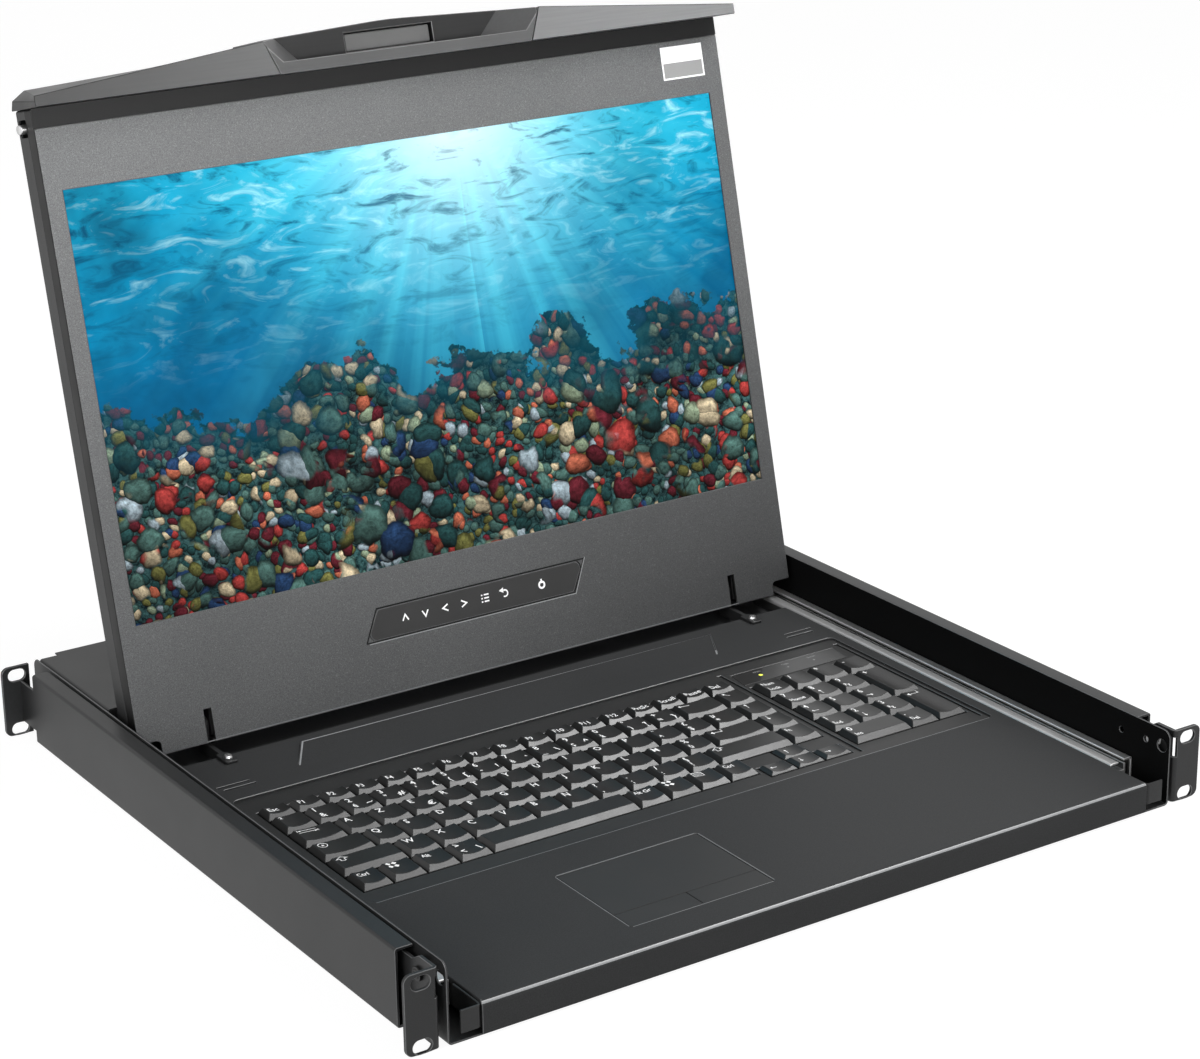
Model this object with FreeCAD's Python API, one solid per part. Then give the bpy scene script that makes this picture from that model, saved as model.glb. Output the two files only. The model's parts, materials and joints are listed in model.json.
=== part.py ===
import FreeCAD, Part

import math
import os

# Rackmount LCD console drawer.  Millimetres, +X right, +Y to the back of the rack, +Z up.
# The origin is the centre of the front rack-hole pattern, on the front face of the ears.

V = FreeCAD.Vector

# --- rack interface ---------------------------------------------------------------------
hole_rise = 31.75            # between the lower and upper hole of one ear
slot_length = 10.2
slot_height = 7.0
ear_span = 482.6             # over both ears
hole_inset = 8.75            # from the ear's outer edge to the middle of its slots
rear_ear_wide = 16.3
ear_bottom = -19.6
ear_top = 21.2
ear_thick = 2.0
ear_corner = 4.0

# --- fixed case -------------------------------------------------------------------------
ear_reach = 21.3             # from the side wall's outer face to the ear's outer edge
case_sheet = 1.0
case_front = -0.8
case_back = 442.0
case_bottom = -19.6
case_top = 22.0
wall_corner = 5.0
bend = 2.4                   # outer bend radius of the sheet parts
keeper_dia = 7.0

# --- front ear brackets and rear brackets -----------------------------------------------
bracket_gap = 3.3            # ear bracket stands this far off the side wall
ear_leg_back = 330.0
leg_bottom = -16.5
leg_top = 17.5
channel_room = 5.3           # from the ear leg to the outer face of the rear channel
channel_sheet = 1.5
channel_front = 26.0
rear_ear_inset = 5.0         # from the case's back end to the front face of the rear ear
neck_length = 16.5           # the channel stops this far before the rear ear
neck_z = (-12.3, 12.0)       # the neck that carries the rear ear
channel_bottom = -19.6
channel_top = 21.0
channel_travel = 180.0
stud_dia = 5.0
stud_y = (70.0, 130.0)

# --- slides -----------------------------------------------------------------------------
slide_axis_z = -9.4
slide_front = 26.0
slide_length = 404.0
slide_sheet = 1.4
outer_half = 8.5             # half height of the fixed member
inner_half = 7.5             # half height of the member on the drawer
outer_deep = 6.2             # depth of the fixed member, off the wall
inner_deep = 6.4             # depth of the moving member, off the drawer
slide_gap = 0.2              # between a member and what carries it
ball_dia = 2.4
ball_play = 0.05
cage_sheet = 0.5
cage_length = 150.0
cage_front = 150.0
balls_per_row = 3
drawer_travel = 400.0

# --- drawer -----------------------------------------------------------------------------
deck_inset = 17.4            # from the side wall's outer face to the drawer's side
deck_top = -1.9
deck_sheet = 1.2
deck_front = -2.6
deck_bottom = -18.4
deck_back = 310.5            # where the deck turns down into the hinge trough
deck_bend = 3.0
tray_sheet = 1.0
trough_floor = -9.0
trough_wide = 40.5           # from the deck's back edge to the rear bay
housing_inset = 0.6          # from the case's back end to the drawer's
housing_top = 22.0
housing_sheet = 1.0
housing_flange = 14.0        # how far the cover's sides come down
tab_reach = 11.2             # the front tabs stand out from the drawer's sides by this much
board_margin = 11.2          # from the tray's side to the boards in the rear bay
board_wide = 170.0
supply_wide = 90.0

# --- keyboard ---------------------------------------------------------------------------
row_pitch = 19.5
key_margin = 5.0             # from the window's left edge to the first key
pad_margin = 5.8             # from the number pad to the window's right edge
key_front = 126.0            # front edge of the space-bar row
key_gap = 0.8
key_depth = 18.7
top_row_depth = 13.0
key_height = 2.8             # above the keyboard frame
arrow_height = 1.7
key_sunk = 1.6               # below the frame's top face
key_travel = 2.2
key_taper = 2.2
front_slope = 3.4
back_slope = 1.0
scoop_depth = 0.8
arrow_pitch = 18.1
arrow_depth = 12.8
arrow_drop = 6.6             # the arrow keys start this far in front of the other keys
groove_half = 1.3
block_gap = 8.325            # between the main block and the number pad
frame_lap = 3.3              # the frame reaches under the deck by this much
frame_front = 108.0
frame_back = 257.0
frame_sheet = 1.2
window_inset = 7.3           # from the deck's side to the opening over the keyboard frame
window_front = 111.0
window_back = 254.4

# --- touchpad ---------------------------------------------------------------------------
pad_x = (-107.0, -22.4)
pad_y = (19.2, 84.8)
button_line = 34.4
pad_gap = 0.35
button_travel = 0.5

# --- lid --------------------------------------------------------------------------------
lid_tilt = 13.39             # leaning back from upright as shown
lid_inset = 5.0              # from the side wall's outer face to the lid's side
notch_high = 8.2             # the lid's lower corners are notched by this much
lid_thick = 21.9
lid_low = -9.2               # lower edge, measured up the lid from the hinge axis
lid_high = 335.25
lid_sheet = 1.4
bezel_depth = 9.0
hinge_depth = 9.0            # hinge axis behind the bezel's face
folded_gap = 2.0             # bezel over deck when the lid is folded down
screen_margin = 10.1         # beside the screen
screen_high = 230.4
screen_mid = 176.8           # screen centre above the hinge axis
glass_thick = 1.2
module_thick = 7.0
strip_low = 324.8            # lower edge of the dark strip under the handle
strip_radii = [4.0, 2.5, 4.0, 2.5]
hinge_inset = 42.1           # from the lid's side to the hinge
hinge_leaf = 3.0
hinge_slot = 4.0
hinge_slot_top = 9.3
hinge_clear = 19.7           # from the deck's back edge to the hinge axis
foot_screw_inset = 9.0
foot_half = 3.6
pin_dia = 4.0

# --- handle -----------------------------------------------------------------------------
handle_inset = 1.0           # from the side wall's outer face to the handle's end
handle_low = 335.3
handle_front = 16.5
handle_back = -21.9
end_low = 5.8                # how far the wing's front edge rises at its end
end_high = 9.9               # the same at its back edge
wing_high = 18.4             # at the grip
crown_high = 21.6            # top of the grip's rim
grip_low_half = 78.5
grip_high_half = 86.0
well_low_half = 57.5
well_high_half = 69.0
well_floor = 6.4
well_back = -3.0
button_half = 26.5
button_low = 7.6
button_high = 17.0
release_travel = 4.0

# --- latch ------------------------------------------------------------------------------
bolt_dia = 5.0
bolt_up = 325.3              # above the hinge axis
bolt_depth = 12.4            # behind the bezel's face
bolt_travel = 5.0
bolt_gap = 0.3               # from the bolt's tip to the wall
bolt_length = 32.7
rod_dia = 3.0
stem_half = 6.0              # half width of the release button's stem
stem_w = (-11.0, -8.4)       # the stem, out from the bezel's face
release_rise = 1.28          # the button stands this much further out when the bolts lock
button_face = -5.0
button_back = -11.0

# --- values that follow from the ones above ---------------------------------------------
tilt = math.radians(lid_tilt)
hole_span = ear_span - 2 * hole_inset
case_half = ear_span / 2 - ear_reach
leg_x = case_half + bracket_gap
channel_outer = leg_x + ear_thick + channel_room
channel_back = case_back - rear_ear_inset
channel_end = channel_back - neck_length
wall_inner = case_half - case_sheet
deck_half = case_half - deck_inset
housing_back = case_back - housing_inset
trough_back = deck_back + trough_wide
outer_x = (wall_inner - slide_gap - outer_deep, wall_inner - slide_gap)
inner_x = (deck_half + slide_gap, deck_half + slide_gap + inner_deep)
window_half = deck_half - window_inset
frame_half = window_half + frame_lap
key_unit = (2 * window_half - key_margin - block_gap - pad_margin) / 19.5
top_row_pitch = 15.5 * key_unit / 17
key_left = key_margin - window_half          # left edge of the first key
pad_left = key_left + 15.5 * key_unit + block_gap
lid_half = case_half - lid_inset
screen_wide = 2 * (lid_half - screen_margin)
hinge_x = lid_half - hinge_inset
hinge_y = deck_back + hinge_clear
foot_screw_y = deck_back - foot_screw_inset
handle_half = case_half - handle_inset
bolt_rest_tip = wall_inner - bolt_gap
bolt_root = bolt_rest_tip - bolt_length      # where the rod ends and the bolt begins
pan_top = case_bottom + case_sheet
bay_front = trough_back + deck_sheet + 0.2   # the tray steps up to the rear bay here
folded_face_z = deck_top + folded_gap
hinge_z = folded_face_z + hinge_depth
frame_top = deck_top - deck_sheet
key_bottom = frame_top - key_sunk
key_top = frame_top + key_height
membrane_top = key_bottom - key_travel - 0.4
tray_half = deck_half - deck_sheet - 0.2
tray_floor = deck_bottom
lid_back = -lid_thick


# --- helpers ----------------------------------------------------------------------------
def save(node, *solids):
    """Writes one node: a single solid, or several separate ones side by side."""
    shape = solids[0] if len(solids) == 1 else Part.makeCompound(list(solids))
    shape.exportStep("parts/%s.step" % node)


def box(x, y, z):
    """A block between pairs of limits."""
    (x0, x1), (y0, y1), (z0, z1) = sorted(x), sorted(y), sorted(z)
    return Part.makeBox(x1 - x0, y1 - y0, z1 - z0, V(x0, y0, z0))


def rod(start, direction, dia, length):
    return Part.makeCylinder(dia / 2.0, length, V(*start), V(*direction))


def mirror(shape):
    """The same piece on the other side of the middle plane."""
    return shape.mirror(V(0, 0, 0), V(1, 0, 0))


def both_sides(node, shape):
    """Writes a right-hand piece and its left-hand twin."""
    save(node + "_right", shape)
    save(node + "_left", mirror(shape))


PLANES = {
    "xy": lambda a, b, c: V(a, b, c),
    "xz": lambda a, b, c: V(a, c, b),
    "yz": lambda a, b, c: V(c, a, b),
}


def rounded_wire(points, radii, plane, level):
    """A closed outline whose corners are arcs of the given radii, 0 for a sharp one."""
    place = PLANES[plane]
    count = len(points)
    if not isinstance(radii, (list, tuple)):
        radii = [radii] * count
    starts, ends, mids = [], [], []
    for i, (px, py) in enumerate(points):
        ax, ay = points[i - 1]
        bx, by = points[(i + 1) % count]
        la, lb = math.hypot(ax - px, ay - py), math.hypot(bx - px, by - py)
        ua, ub = ((ax - px) / la, (ay - py) / la), ((bx - px) / lb, (by - py) / lb)
        cosine = max(-1.0, min(1.0, ua[0] * ub[0] + ua[1] * ub[1]))
        half = math.acos(cosine) / 2.0
        radius = radii[i]
        if radius <= 0 or half > math.pi / 2 - 1e-6:
            starts.append((px, py))
            ends.append((px, py))
            mids.append(None)
            continue
        back = radius / math.tan(half)
        starts.append((px + ua[0] * back, py + ua[1] * back))
        ends.append((px + ub[0] * back, py + ub[1] * back))
        bis = (ua[0] + ub[0], ua[1] + ub[1])
        length = math.hypot(*bis)
        reach = radius / math.sin(half) - radius
        mids.append((px + bis[0] / length * reach, py + bis[1] / length * reach))
    edges = []
    for i in range(count):
        if mids[i] is not None:
            trio = [place(q[0], q[1], level) for q in (starts[i], mids[i], ends[i])]
            edges.append(Part.Arc(*trio).toShape())
        nxt = (i + 1) % count
        a, b = place(*ends[i], level), place(*starts[nxt], level)
        if a.distanceToPoint(b) > 1e-6:
            edges.append(Part.LineSegment(a, b).toShape())
    return Part.Wire(edges)


def prism(points, plane, start, end, radii=0):
    """A plate or bar with a rounded outline, from one level to another."""
    face = Part.Face(rounded_wire(points, radii, plane, start))
    return face.extrude(PLANES[plane](0, 0, end - start))


def rectangle(a, b):
    (a0, a1), (b0, b1) = sorted(a), sorted(b)
    return [(a0, b0), (a1, b0), (a1, b1), (a0, b1)]


def slot_cut(x, y, z, length, height):
    """A cutter through a plate that faces front: a level slot with round ends."""
    straight = length - height
    x0, x1 = x - straight / 2.0, x + straight / 2.0
    return prism(rectangle((x0 - height / 2, x1 + height / 2), (z - height / 2, z + height / 2)),
                 "xz", y[0], y[1], radii=height / 2 - 0.001)


def sheet(path, thick, plane, start, end, radius=None):
    """Folded sheet: path is its outer face, the metal lies to the left of the path."""
    radius = bend if radius is None else radius
    normals = []
    for (ax, ay), (bx, by) in zip(path, path[1:]):
        length = math.hypot(bx - ax, by - ay)
        normals.append((-(by - ay) / length, (bx - ax) / length))
    inner, outer_radii, inner_radii = [], [], []
    for i, (px, py) in enumerate(path):
        if i == 0 or i == len(path) - 1:
            nx, ny = normals[0] if i == 0 else normals[-1]
            inner.append((px + nx * thick, py + ny * thick))
            outer_radii.append(0)
            inner_radii.append(0)
            continue
        (n0x, n0y), (n1x, n1y) = normals[i - 1], normals[i]
        scale = thick / (1 + n0x * n1x + n0y * n1y)
        inner.append((px + (n0x + n1x) * scale, py + (n0y + n1y) * scale))
        turn_left = n0x * n1y - n0y * n1x > 0
        outer_radii.append(radius if turn_left else max(radius - thick, 0.2))
        inner_radii.append(max(radius - thick, 0.2) if turn_left else radius)
    points = list(path) + inner[::-1]
    return prism(points, plane, start, end, radii=outer_radii + inner_radii[::-1])


def fused(shapes):
    return shapes[0].fuse(shapes[1:]).removeSplitter()


def to_lid(shape):
    """Takes a piece from the lid's own frame (x, up the lid, out of the screen) to its place."""
    turn = FreeCAD.Rotation(V(1, 0, 0), 90 - lid_tilt)
    axis_point = V(0, hinge_y, hinge_z) - turn.multVec(V(0, 0, -hinge_depth))
    placed = shape.copy()
    placed.Placement = FreeCAD.Placement(axis_point, turn).multiply(placed.Placement)
    return placed


# --- fixed case -------------------------------------------------------------------------
def build_case():
    """One folded pan: a bottom and two tall side walls with the keeper holes."""
    path = [(-case_half, case_top), (-case_half, case_bottom),
            (case_half, case_bottom), (case_half, case_top)]
    pan = sheet(path, case_sheet, "xz", case_front, case_back)
    for y, sign in ((case_front, 1), (case_back, -1)):
        corner = [(y, case_top - wall_corner), (y, case_top), (y + sign * wall_corner, case_top)]
        chip = prism(corner, "yz", -case_half - 1, case_half + 1)
        round_part = rod((-case_half - 1, y + sign * wall_corner, case_top - wall_corner),
                         (1, 0, 0), 2 * wall_corner, 2 * case_half + 2)
        pan = pan.cut(chip.cut(round_part))
    keeper_y = hinge_y - bolt_up
    keeper_z = folded_face_z + bolt_depth
    for y, z, dia in ((keeper_y, keeper_z, keeper_dia), (17.0, 12.0, 3.2), (35.5, 11.0, 3.2)):
        pan = pan.cut(rod((-case_half - 1, y, z), (1, 0, 0), dia, 2 * case_half + 2))
    relief = rectangle((-case_half + 60, case_half - 60), (case_front - 1, case_front + 14))
    pan = pan.cut(prism(relief, "xy", case_bottom - 1, pan_top + 1, radii=[0, 0, 6, 6]))
    save("case_pan", pan)


# --- front ears and rear brackets -------------------------------------------------------
def ear_plate(y0, y1, inner):
    """A rack ear with its two slots, from the bend out to the rack's edge."""
    outline = rectangle((inner, ear_span / 2), (ear_bottom, ear_top))
    plate = prism(outline, "xz", y0, y1, radii=[0, ear_corner, ear_corner, 0])
    for z in (-hole_rise / 2, hole_rise / 2):
        plate = plate.cut(slot_cut(hole_span / 2, (y0 - 1, y1 + 1), z, slot_length, slot_height))
    return plate


def build_front_brackets():
    """An ear and its long leg, which carries the case and guides the rear bracket."""
    ear = ear_plate(0, ear_thick, leg_x)
    leg_outline = [(0, ear_bottom), (14, ear_bottom), (20, leg_bottom), (ear_leg_back, leg_bottom),
                   (ear_leg_back, leg_top), (20, leg_top), (14, ear_top), (0, ear_top)]
    leg = prism(leg_outline, "yz", leg_x, leg_x + ear_thick, radii=[0, 2, 2, 3, 3, 2, 2, 0])
    bracket = fused([ear, leg])
    corner = box((leg_x - 1, leg_x + bend), (-1, bend), (ear_bottom - 1, ear_top + 1))
    round_part = rod((leg_x + bend, bend, ear_bottom - 2), (0, 0, 1), 2 * bend,
                     ear_top - ear_bottom + 4)
    bracket = bracket.cut(corner.cut(round_part))
    bracket = bracket.cut(box((leg_x - 1, leg_x + 2.2), (-1, ear_thick + 1.0), (6.0, 17.0)))
    half = stud_dia / 2 + 0.3
    stud_run = rectangle((stud_y[0] - half, stud_y[-1] + channel_travel + half), (-half, half))
    bracket = bracket.cut(prism(stud_run, "yz", leg_x - 1, leg_x + ear_thick + 1,
                                radii=half - 0.01))
    for y, z in bracket_screw_places():
        bracket = bracket.cut(rod((leg_x - 1, y, z), (1, 0, 0), 4.2, ear_thick + 2))
    both_sides("front_bracket", bracket)


def bracket_screw_places():
    return [(y, z) for y in (14.0, 165.0, 316.0) for z in (-11.5, 12.5)]


def build_bracket_spacers():
    """Standoffs between the side walls and the ear legs, with the screws through them."""
    spacers, screws = [], []
    for y, z in bracket_screw_places():
        spacer = rod((case_half, y, z), (1, 0, 0), 8.0, bracket_gap)
        spacers.append(spacer.cut(rod((case_half - 1, y, z), (1, 0, 0), 4.2, bracket_gap + 2)))
        shank = rod((case_half, y, z), (1, 0, 0), 4.0, bracket_gap + ear_thick)
        head = rod((leg_x + ear_thick, y, z), (1, 0, 0), 7.0, 1.6)
        screws.append(shank.fuse(head))
    save("bracket_spacers", *(spacers + [mirror(s) for s in spacers]))
    save("bracket_screws", *(screws + [mirror(s) for s in screws]))


def build_rear_brackets():
    """A channel that slides over the ear leg, ending in the rear ear."""
    lip = leg_x - 2.2
    path = [(lip, channel_bottom), (channel_outer, channel_bottom),
            (channel_outer, channel_top), (lip, channel_top)]
    channel = sheet(path, channel_sheet, "xz", channel_front, channel_back + ear_thick, radius=1.6)
    ear = ear_plate(channel_back, channel_back + ear_thick, ear_span / 2 - rear_ear_wide)
    for z0, z1 in ((channel_bottom - 1, neck_z[0]), (neck_z[1], channel_top + 1)):
        channel = channel.cut(box((lip - 1, channel_outer + 1),
                                  (channel_end, channel_back + ear_thick + 1), (z0, z1)))
    both_sides("rear_bracket", fused([channel, ear]))
    channel_inner = channel_outer - channel_sheet
    collar_x = leg_x + ear_thick + 0.4
    studs = []
    for y in stud_y:
        shank = rod((leg_x - 0.5, y, 0), (1, 0, 0), stud_dia, channel_inner - leg_x + 0.5)
        head = rod((leg_x - 2.4, y, 0), (1, 0, 0), 8.4, 1.9)
        collar = rod((collar_x, y, 0), (1, 0, 0), 9.0, channel_inner - collar_x)
        studs.append(fused([shank, head, collar]))
    save("bracket_studs_right", *studs)
    save("bracket_studs_left", *[mirror(s) for s in studs])


# --- slides -----------------------------------------------------------------------------
def slide_span():
    return slide_front, slide_front + slide_length


def build_slides():
    """Three-part telescopic slides: a fixed C, a double-headed middle bar and a moving C."""
    y0, y1 = slide_span()
    z = slide_axis_z
    t = slide_sheet
    outer = sheet([(outer_x[0], z + outer_half), (outer_x[1], z + outer_half),
                   (outer_x[1], z - outer_half), (outer_x[0], z - outer_half)][::-1],
                  t, "xz", y0, y1, radius=2.0)
    inner = sheet([(inner_x[1], z + inner_half), (inner_x[0], z + inner_half),
                   (inner_x[0], z - inner_half), (inner_x[1], z - inner_half)],
                  t, "xz", y0, y1, radius=2.0)
    save("slide_outer_pair", outer, mirror(outer))
    save("slide_inner_pair", inner, mirror(inner))
    outer_head = outer_half - t - ball_dia - 2 * ball_play
    inner_head = inner_half - t - ball_dia - 2 * ball_play
    outer_head_x = (outer_x[0] + 2.2, outer_x[0] + 3.6)
    inner_head_x = (inner_x[1] - 3.6, inner_x[1] - 2.2)
    bar = fused([
        box(outer_head_x, (y0 + 2, y1 - 2), (z - outer_head, z + outer_head)),
        box(inner_head_x, (y0 + 2, y1 - 2), (z - inner_head, z + inner_head)),
        box((inner_head_x[0], outer_head_x[1]), (y0 + 2, y1 - 2), (z - 1.0, z + 1.0))])
    both_sides("slide_middle", bar)
    for node, web, tips, half, head_x, head in (
            ("ball_cage_outer", outer_x[1] - t, outer_x[0] + 1.0, outer_half - t, outer_head_x,
             outer_head),
            ("ball_cage_inner", inner_x[0] + t, inner_x[1] - 1.0, inner_half - t, inner_head_x,
             inner_head)):
        sign = 1 if web > tips else -1
        spine_x = (web - sign * 0.3, web - sign * (0.3 + cage_sheet))
        strip_x = (tips, web - sign * 0.3)
        middle = (half + head) / 2.0
        strip_z = (middle - cage_sheet / 2, middle + cage_sheet / 2)
        span = (cage_front, cage_front + cage_length)
        cage = fused([
            box(spine_x, span, (z - strip_z[1], z + strip_z[1])),
            box(strip_x, span, (z + strip_z[0], z + strip_z[1])),
            box(strip_x, span, (z - strip_z[1], z - strip_z[0]))])
        balls = []
        ball_x = sum(head_x) / 2.0
        for i in range(balls_per_row):
            y = cage_front + cage_length * (i + 0.5) / balls_per_row
            for side in (-1, 1):
                centre = V(ball_x, y, z + side * middle)
                cage = cage.cut(Part.makeSphere(ball_dia / 2 + 0.15, centre))
                balls.append(Part.makeSphere(ball_dia / 2, centre))
        save(node + "_right", cage, *balls)
        save(node + "_left", mirror(cage), *[mirror(b) for b in balls])


# --- drawer -----------------------------------------------------------------------------
def vent_slits():
    """Two staggered pairs of thin slits behind the keyboard."""
    cuts = []
    for side in (-1, 1):
        for shift, y in ((0.0, 268.6), (3.0, 273.0)):
            x = side * (183.0 if shift == 0 else 184.8)
            cuts.append(prism(rectangle((x - 9.5, x + 9.5), (y - 0.7, y + 0.7)), "xy",
                              deck_top - deck_sheet - 1, deck_top + 1, radii=0.69))
    return cuts


def build_deck():
    """The deck: folded sheet with a front skirt, keyboard window and the hinge trough."""
    path = [(deck_front, deck_bottom), (deck_front, deck_top), (deck_back, deck_top),
            (deck_back, trough_floor), (trough_back, trough_floor),
            (trough_back, housing_top - housing_sheet - 0.1)]
    deck = sheet(path[::-1], deck_sheet, "yz", -deck_half, deck_half, radius=deck_bend)
    skirt_z = (deck_bottom + 4, deck_top - 1.0)
    skirts = [box((side * (deck_half - deck_sheet), side * deck_half),
                  (deck_front + deck_bend, deck_back - 2), skirt_z) for side in (-1, 1)]
    deck = fused([deck] + skirts)
    for side in (-1, 1):
        edge = box((side * (deck_half - 1.0), side * (deck_half + 1)), (deck_front - 1, deck_back + 1),
                   (deck_top - 1.0, deck_top + 1))
        round_part = rod((side * (deck_half - 1.0), deck_front - 1, deck_top - 1.0), (0, 1, 0), 2.0,
                         deck_back - deck_front + 2)
        deck = deck.cut(edge.cut(round_part))
    cut_z = (deck_top - deck_sheet - 1, deck_top + 1)
    deck = deck.cut(prism(rectangle((-window_half, window_half), (window_front, window_back)),
                          "xy", *cut_z, radii=3.0))
    deck = deck.cut(prism(rectangle(pad_x, pad_y), "xy", *cut_z, radii=0.8))
    deck = deck.cut(Part.makeCompound(vent_slits()))
    deck = deck.fuse(raised_ramp()).removeSplitter()
    for x in (-hinge_x, hinge_x):
        deck = deck.cut(rod((x, foot_screw_y, cut_z[0]), (0, 0, 1), 3.2, 4))
    save("deck", deck)


def raised_ramp():
    """A low ramp behind the keyboard that ends in a step before the trough."""
    rise = 1.5
    low = [(-146.5, 273.2), (125.9, 270.4)]
    high = [(-131.2, 298.2), (139.1, 297.0)]
    z = deck_top - 0.2
    corners = [V(*low[0], z), V(*low[1], z), V(*high[1], z), V(*high[0], z),
               V(*high[1], deck_top + rise), V(*high[0], deck_top + rise)]
    faces = [(0, 3, 2, 1), (0, 1, 4), (0, 4, 5), (1, 2, 4), (2, 3, 5, 4), (3, 0, 5)]
    rings = [[corners[i] for i in face + face[:1]] for face in faces]
    return Part.makeSolid(Part.makeShell([Part.Face(Part.makePolygon(ring)) for ring in rings]))


def build_tray():
    """The drawer's pan under the deck, with the rear panel and the tabs at its front."""
    x = tray_half
    side_top = deck_top - deck_sheet - 0.1
    bay_top = housing_top - housing_sheet - 0.2
    path = [(-x, side_top), (-x, tray_floor), (x, tray_floor), (x, side_top)]
    pan = sheet(path, tray_sheet, "xz", deck_front + deck_bend + 0.2, bay_front)
    pan = pan.cut(box((-x - 1, x + 1), (deck_back - deck_bend - 0.2, bay_front + 1),
                      (trough_floor - deck_sheet - 0.2, deck_top)))
    tall = [(-x, bay_top), (-x, tray_floor), (x, tray_floor), (x, bay_top)]
    rear = sheet(tall, tray_sheet, "xz", bay_front, housing_back - tray_sheet)
    panel = box((-x, x), (housing_back - tray_sheet, housing_back), (tray_floor, bay_top))
    pan = fused([pan, rear, panel])
    pan = pan.cut(prism(rectangle(inlet_x(), inlet_z()), "xz", housing_back - 3, housing_back + 1,
                        radii=2.0))
    pan = pan.cut(prism(rectangle(port_x(), port_z()), "xz", housing_back - 3, housing_back + 1,
                        radii=2.0))
    for i in range(12):
        vent_x = -60 + 9.0 * i
        pan = pan.cut(prism(rectangle((vent_x, vent_x + 3), (-6, 12)), "xz", housing_back - 3,
                            housing_back + 1, radii=1.49))
    save("tray_pan", pan)
    root = deck_half + 0.05
    path = [(root, slide_front - 4), (root, deck_front + 0.4),
            (deck_half + tab_reach, deck_front + 0.4)]
    tab = sheet(path, 1.2, "xy", deck_bottom + 3.8, deck_top - 1.0)
    save("slide_end_tabs", tab, mirror(tab))


def inlet_x():
    return (-160.0, -132.4)


def inlet_z():
    return (-11.0, 9.4)


def port_x():
    return (90.0, 121.0)


def port_z():
    return (-8.0, 5.0)


def build_rear_housing():
    """The top cover of the electronics bay behind the lid."""
    half = wall_inner - 0.6
    low = housing_top - housing_flange
    path = [(half, low), (half, housing_top), (-half, housing_top), (-half, low)]
    cover = sheet(path, housing_sheet, "xz", trough_back - deck_sheet, housing_back, radius=1.6)
    for side in (-1, 1):
        corner = box((side * (half - 11), side * (half + 1)), (housing_back - 4, housing_back + 1),
                     (low - 1, housing_top + 1))
        cover = cover.cut(corner)
    save("rear_cover", cover)


def build_electronics():
    """What the bay holds: converter board, power supply, and the sockets in the rear panel."""
    floor = tray_floor + tray_sheet
    side, front = tray_half - board_margin, bay_front + 9.6
    back = housing_back - 7.4
    board = box((side - board_wide, side), (front, back), (floor + 4, floor + 5.6))
    chips = [box((side - 130, side - 100), (back - 49, back - 19), (floor + 5.6, floor + 8)),
             box((side - 70, side - 40), (back - 59, back - 39), (floor + 5.6, floor + 12))]
    posts = [rod((x, y, floor), (0, 0, 1), 5.0, 4)
             for x in (side - board_wide + 4, side - 4) for y in (front + 4, back - 4)]
    save("control_board", fused([board] + chips + posts))
    supply = box((-side, supply_wide - side), (front, housing_back - 29.4), (floor, floor + 26))
    supply = supply.makeFillet(2.0, [e for e in supply.Edges if e.BoundBox.ZLength > 20])
    save("power_supply", supply)
    x, z = inlet_x(), inlet_z()
    body = prism(rectangle((x[0] + 0.2, x[1] - 0.2), (z[0] + 0.2, z[1] - 0.2)), "xz",
                 housing_back - 24, housing_back, radii=2.0)
    flange = prism(rectangle((x[0] - 9, x[1] + 9), (z[0] - 2, z[1] + 2)), "xz", housing_back,
                   housing_back + 2.2, radii=3.0)
    inlet = body.fuse(flange)
    socket = prism([(x[0] + 2.4, z[0] + 2.2), (x[1] - 2.4, z[0] + 2.2), (x[1] - 2.4, z[1] - 6),
                    (x[1] - 7, z[1] - 2.2), (x[0] + 7, z[1] - 2.2), (x[0] + 2.4, z[1] - 6)],
                   "xz", housing_back - 16, housing_back + 3, radii=1.0)
    inlet = inlet.cut(socket)
    pins = [box((x[0] + dx - 0.9, x[0] + dx + 0.9), (housing_back - 17, housing_back - 3),
                (z[0] + dz - 2, z[0] + dz + 2)) for dx, dz in ((6.8, 8), (13.8, 12), (20.8, 8))]
    save("power_inlet", fused([inlet] + pins))
    x, z = port_x(), port_z()
    shell = prism([(x[0] + 0.3, z[1] - 0.3), (x[0] + 2.4, z[0] + 0.3), (x[1] - 2.4, z[0] + 0.3),
                   (x[1] - 0.3, z[1] - 0.3)], "xz", housing_back - 12, housing_back + 5, radii=1.8)
    flange = prism(rectangle((x[0] - 6, x[1] + 6), (z[0] - 1.5, z[1] + 1.5)), "xz",
                   housing_back, housing_back + 1.2, radii=2.0)
    save("console_port", shell.fuse(flange).removeSplitter())


# --- keyboard ---------------------------------------------------------------------------
def key_ring(x, y, width, depth, z):
    """The closed outline of a key at one height."""
    corners = [V(x, y, z), V(x + width, y, z), V(x + width, y + depth, z), V(x, y + depth, z)]
    return Part.makePolygon(corners + corners[:1])


def key_cap(x, y, width, depth, height=key_height):
    """One key: upright in the frame, then tapered with a long front slope; most are scooped."""
    w, d = width - key_gap, depth - key_gap
    x0, y0 = x + key_gap / 2, y + key_gap / 2
    slope = front_slope * height / key_height
    top = frame_top + height
    rings = [key_ring(x0, y0, w, d, z) for z in (key_bottom, frame_top)]
    rings.append(key_ring(x0 + key_taper, y0 + slope, w - 2 * key_taper, d - slope - back_slope, top))
    body = Part.makeLoft(rings, True, True)
    if width > 1.95 * key_unit:
        return body
    half = w / 2 - key_taper
    radius = (half * half + scoop_depth * scoop_depth) / (2 * scoop_depth)
    scoop = rod((x0 + w / 2, y0 - 1, top - scoop_depth + radius), (0, 1, 0), 2 * radius, d + 2)
    return body.cut(scoop)


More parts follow.
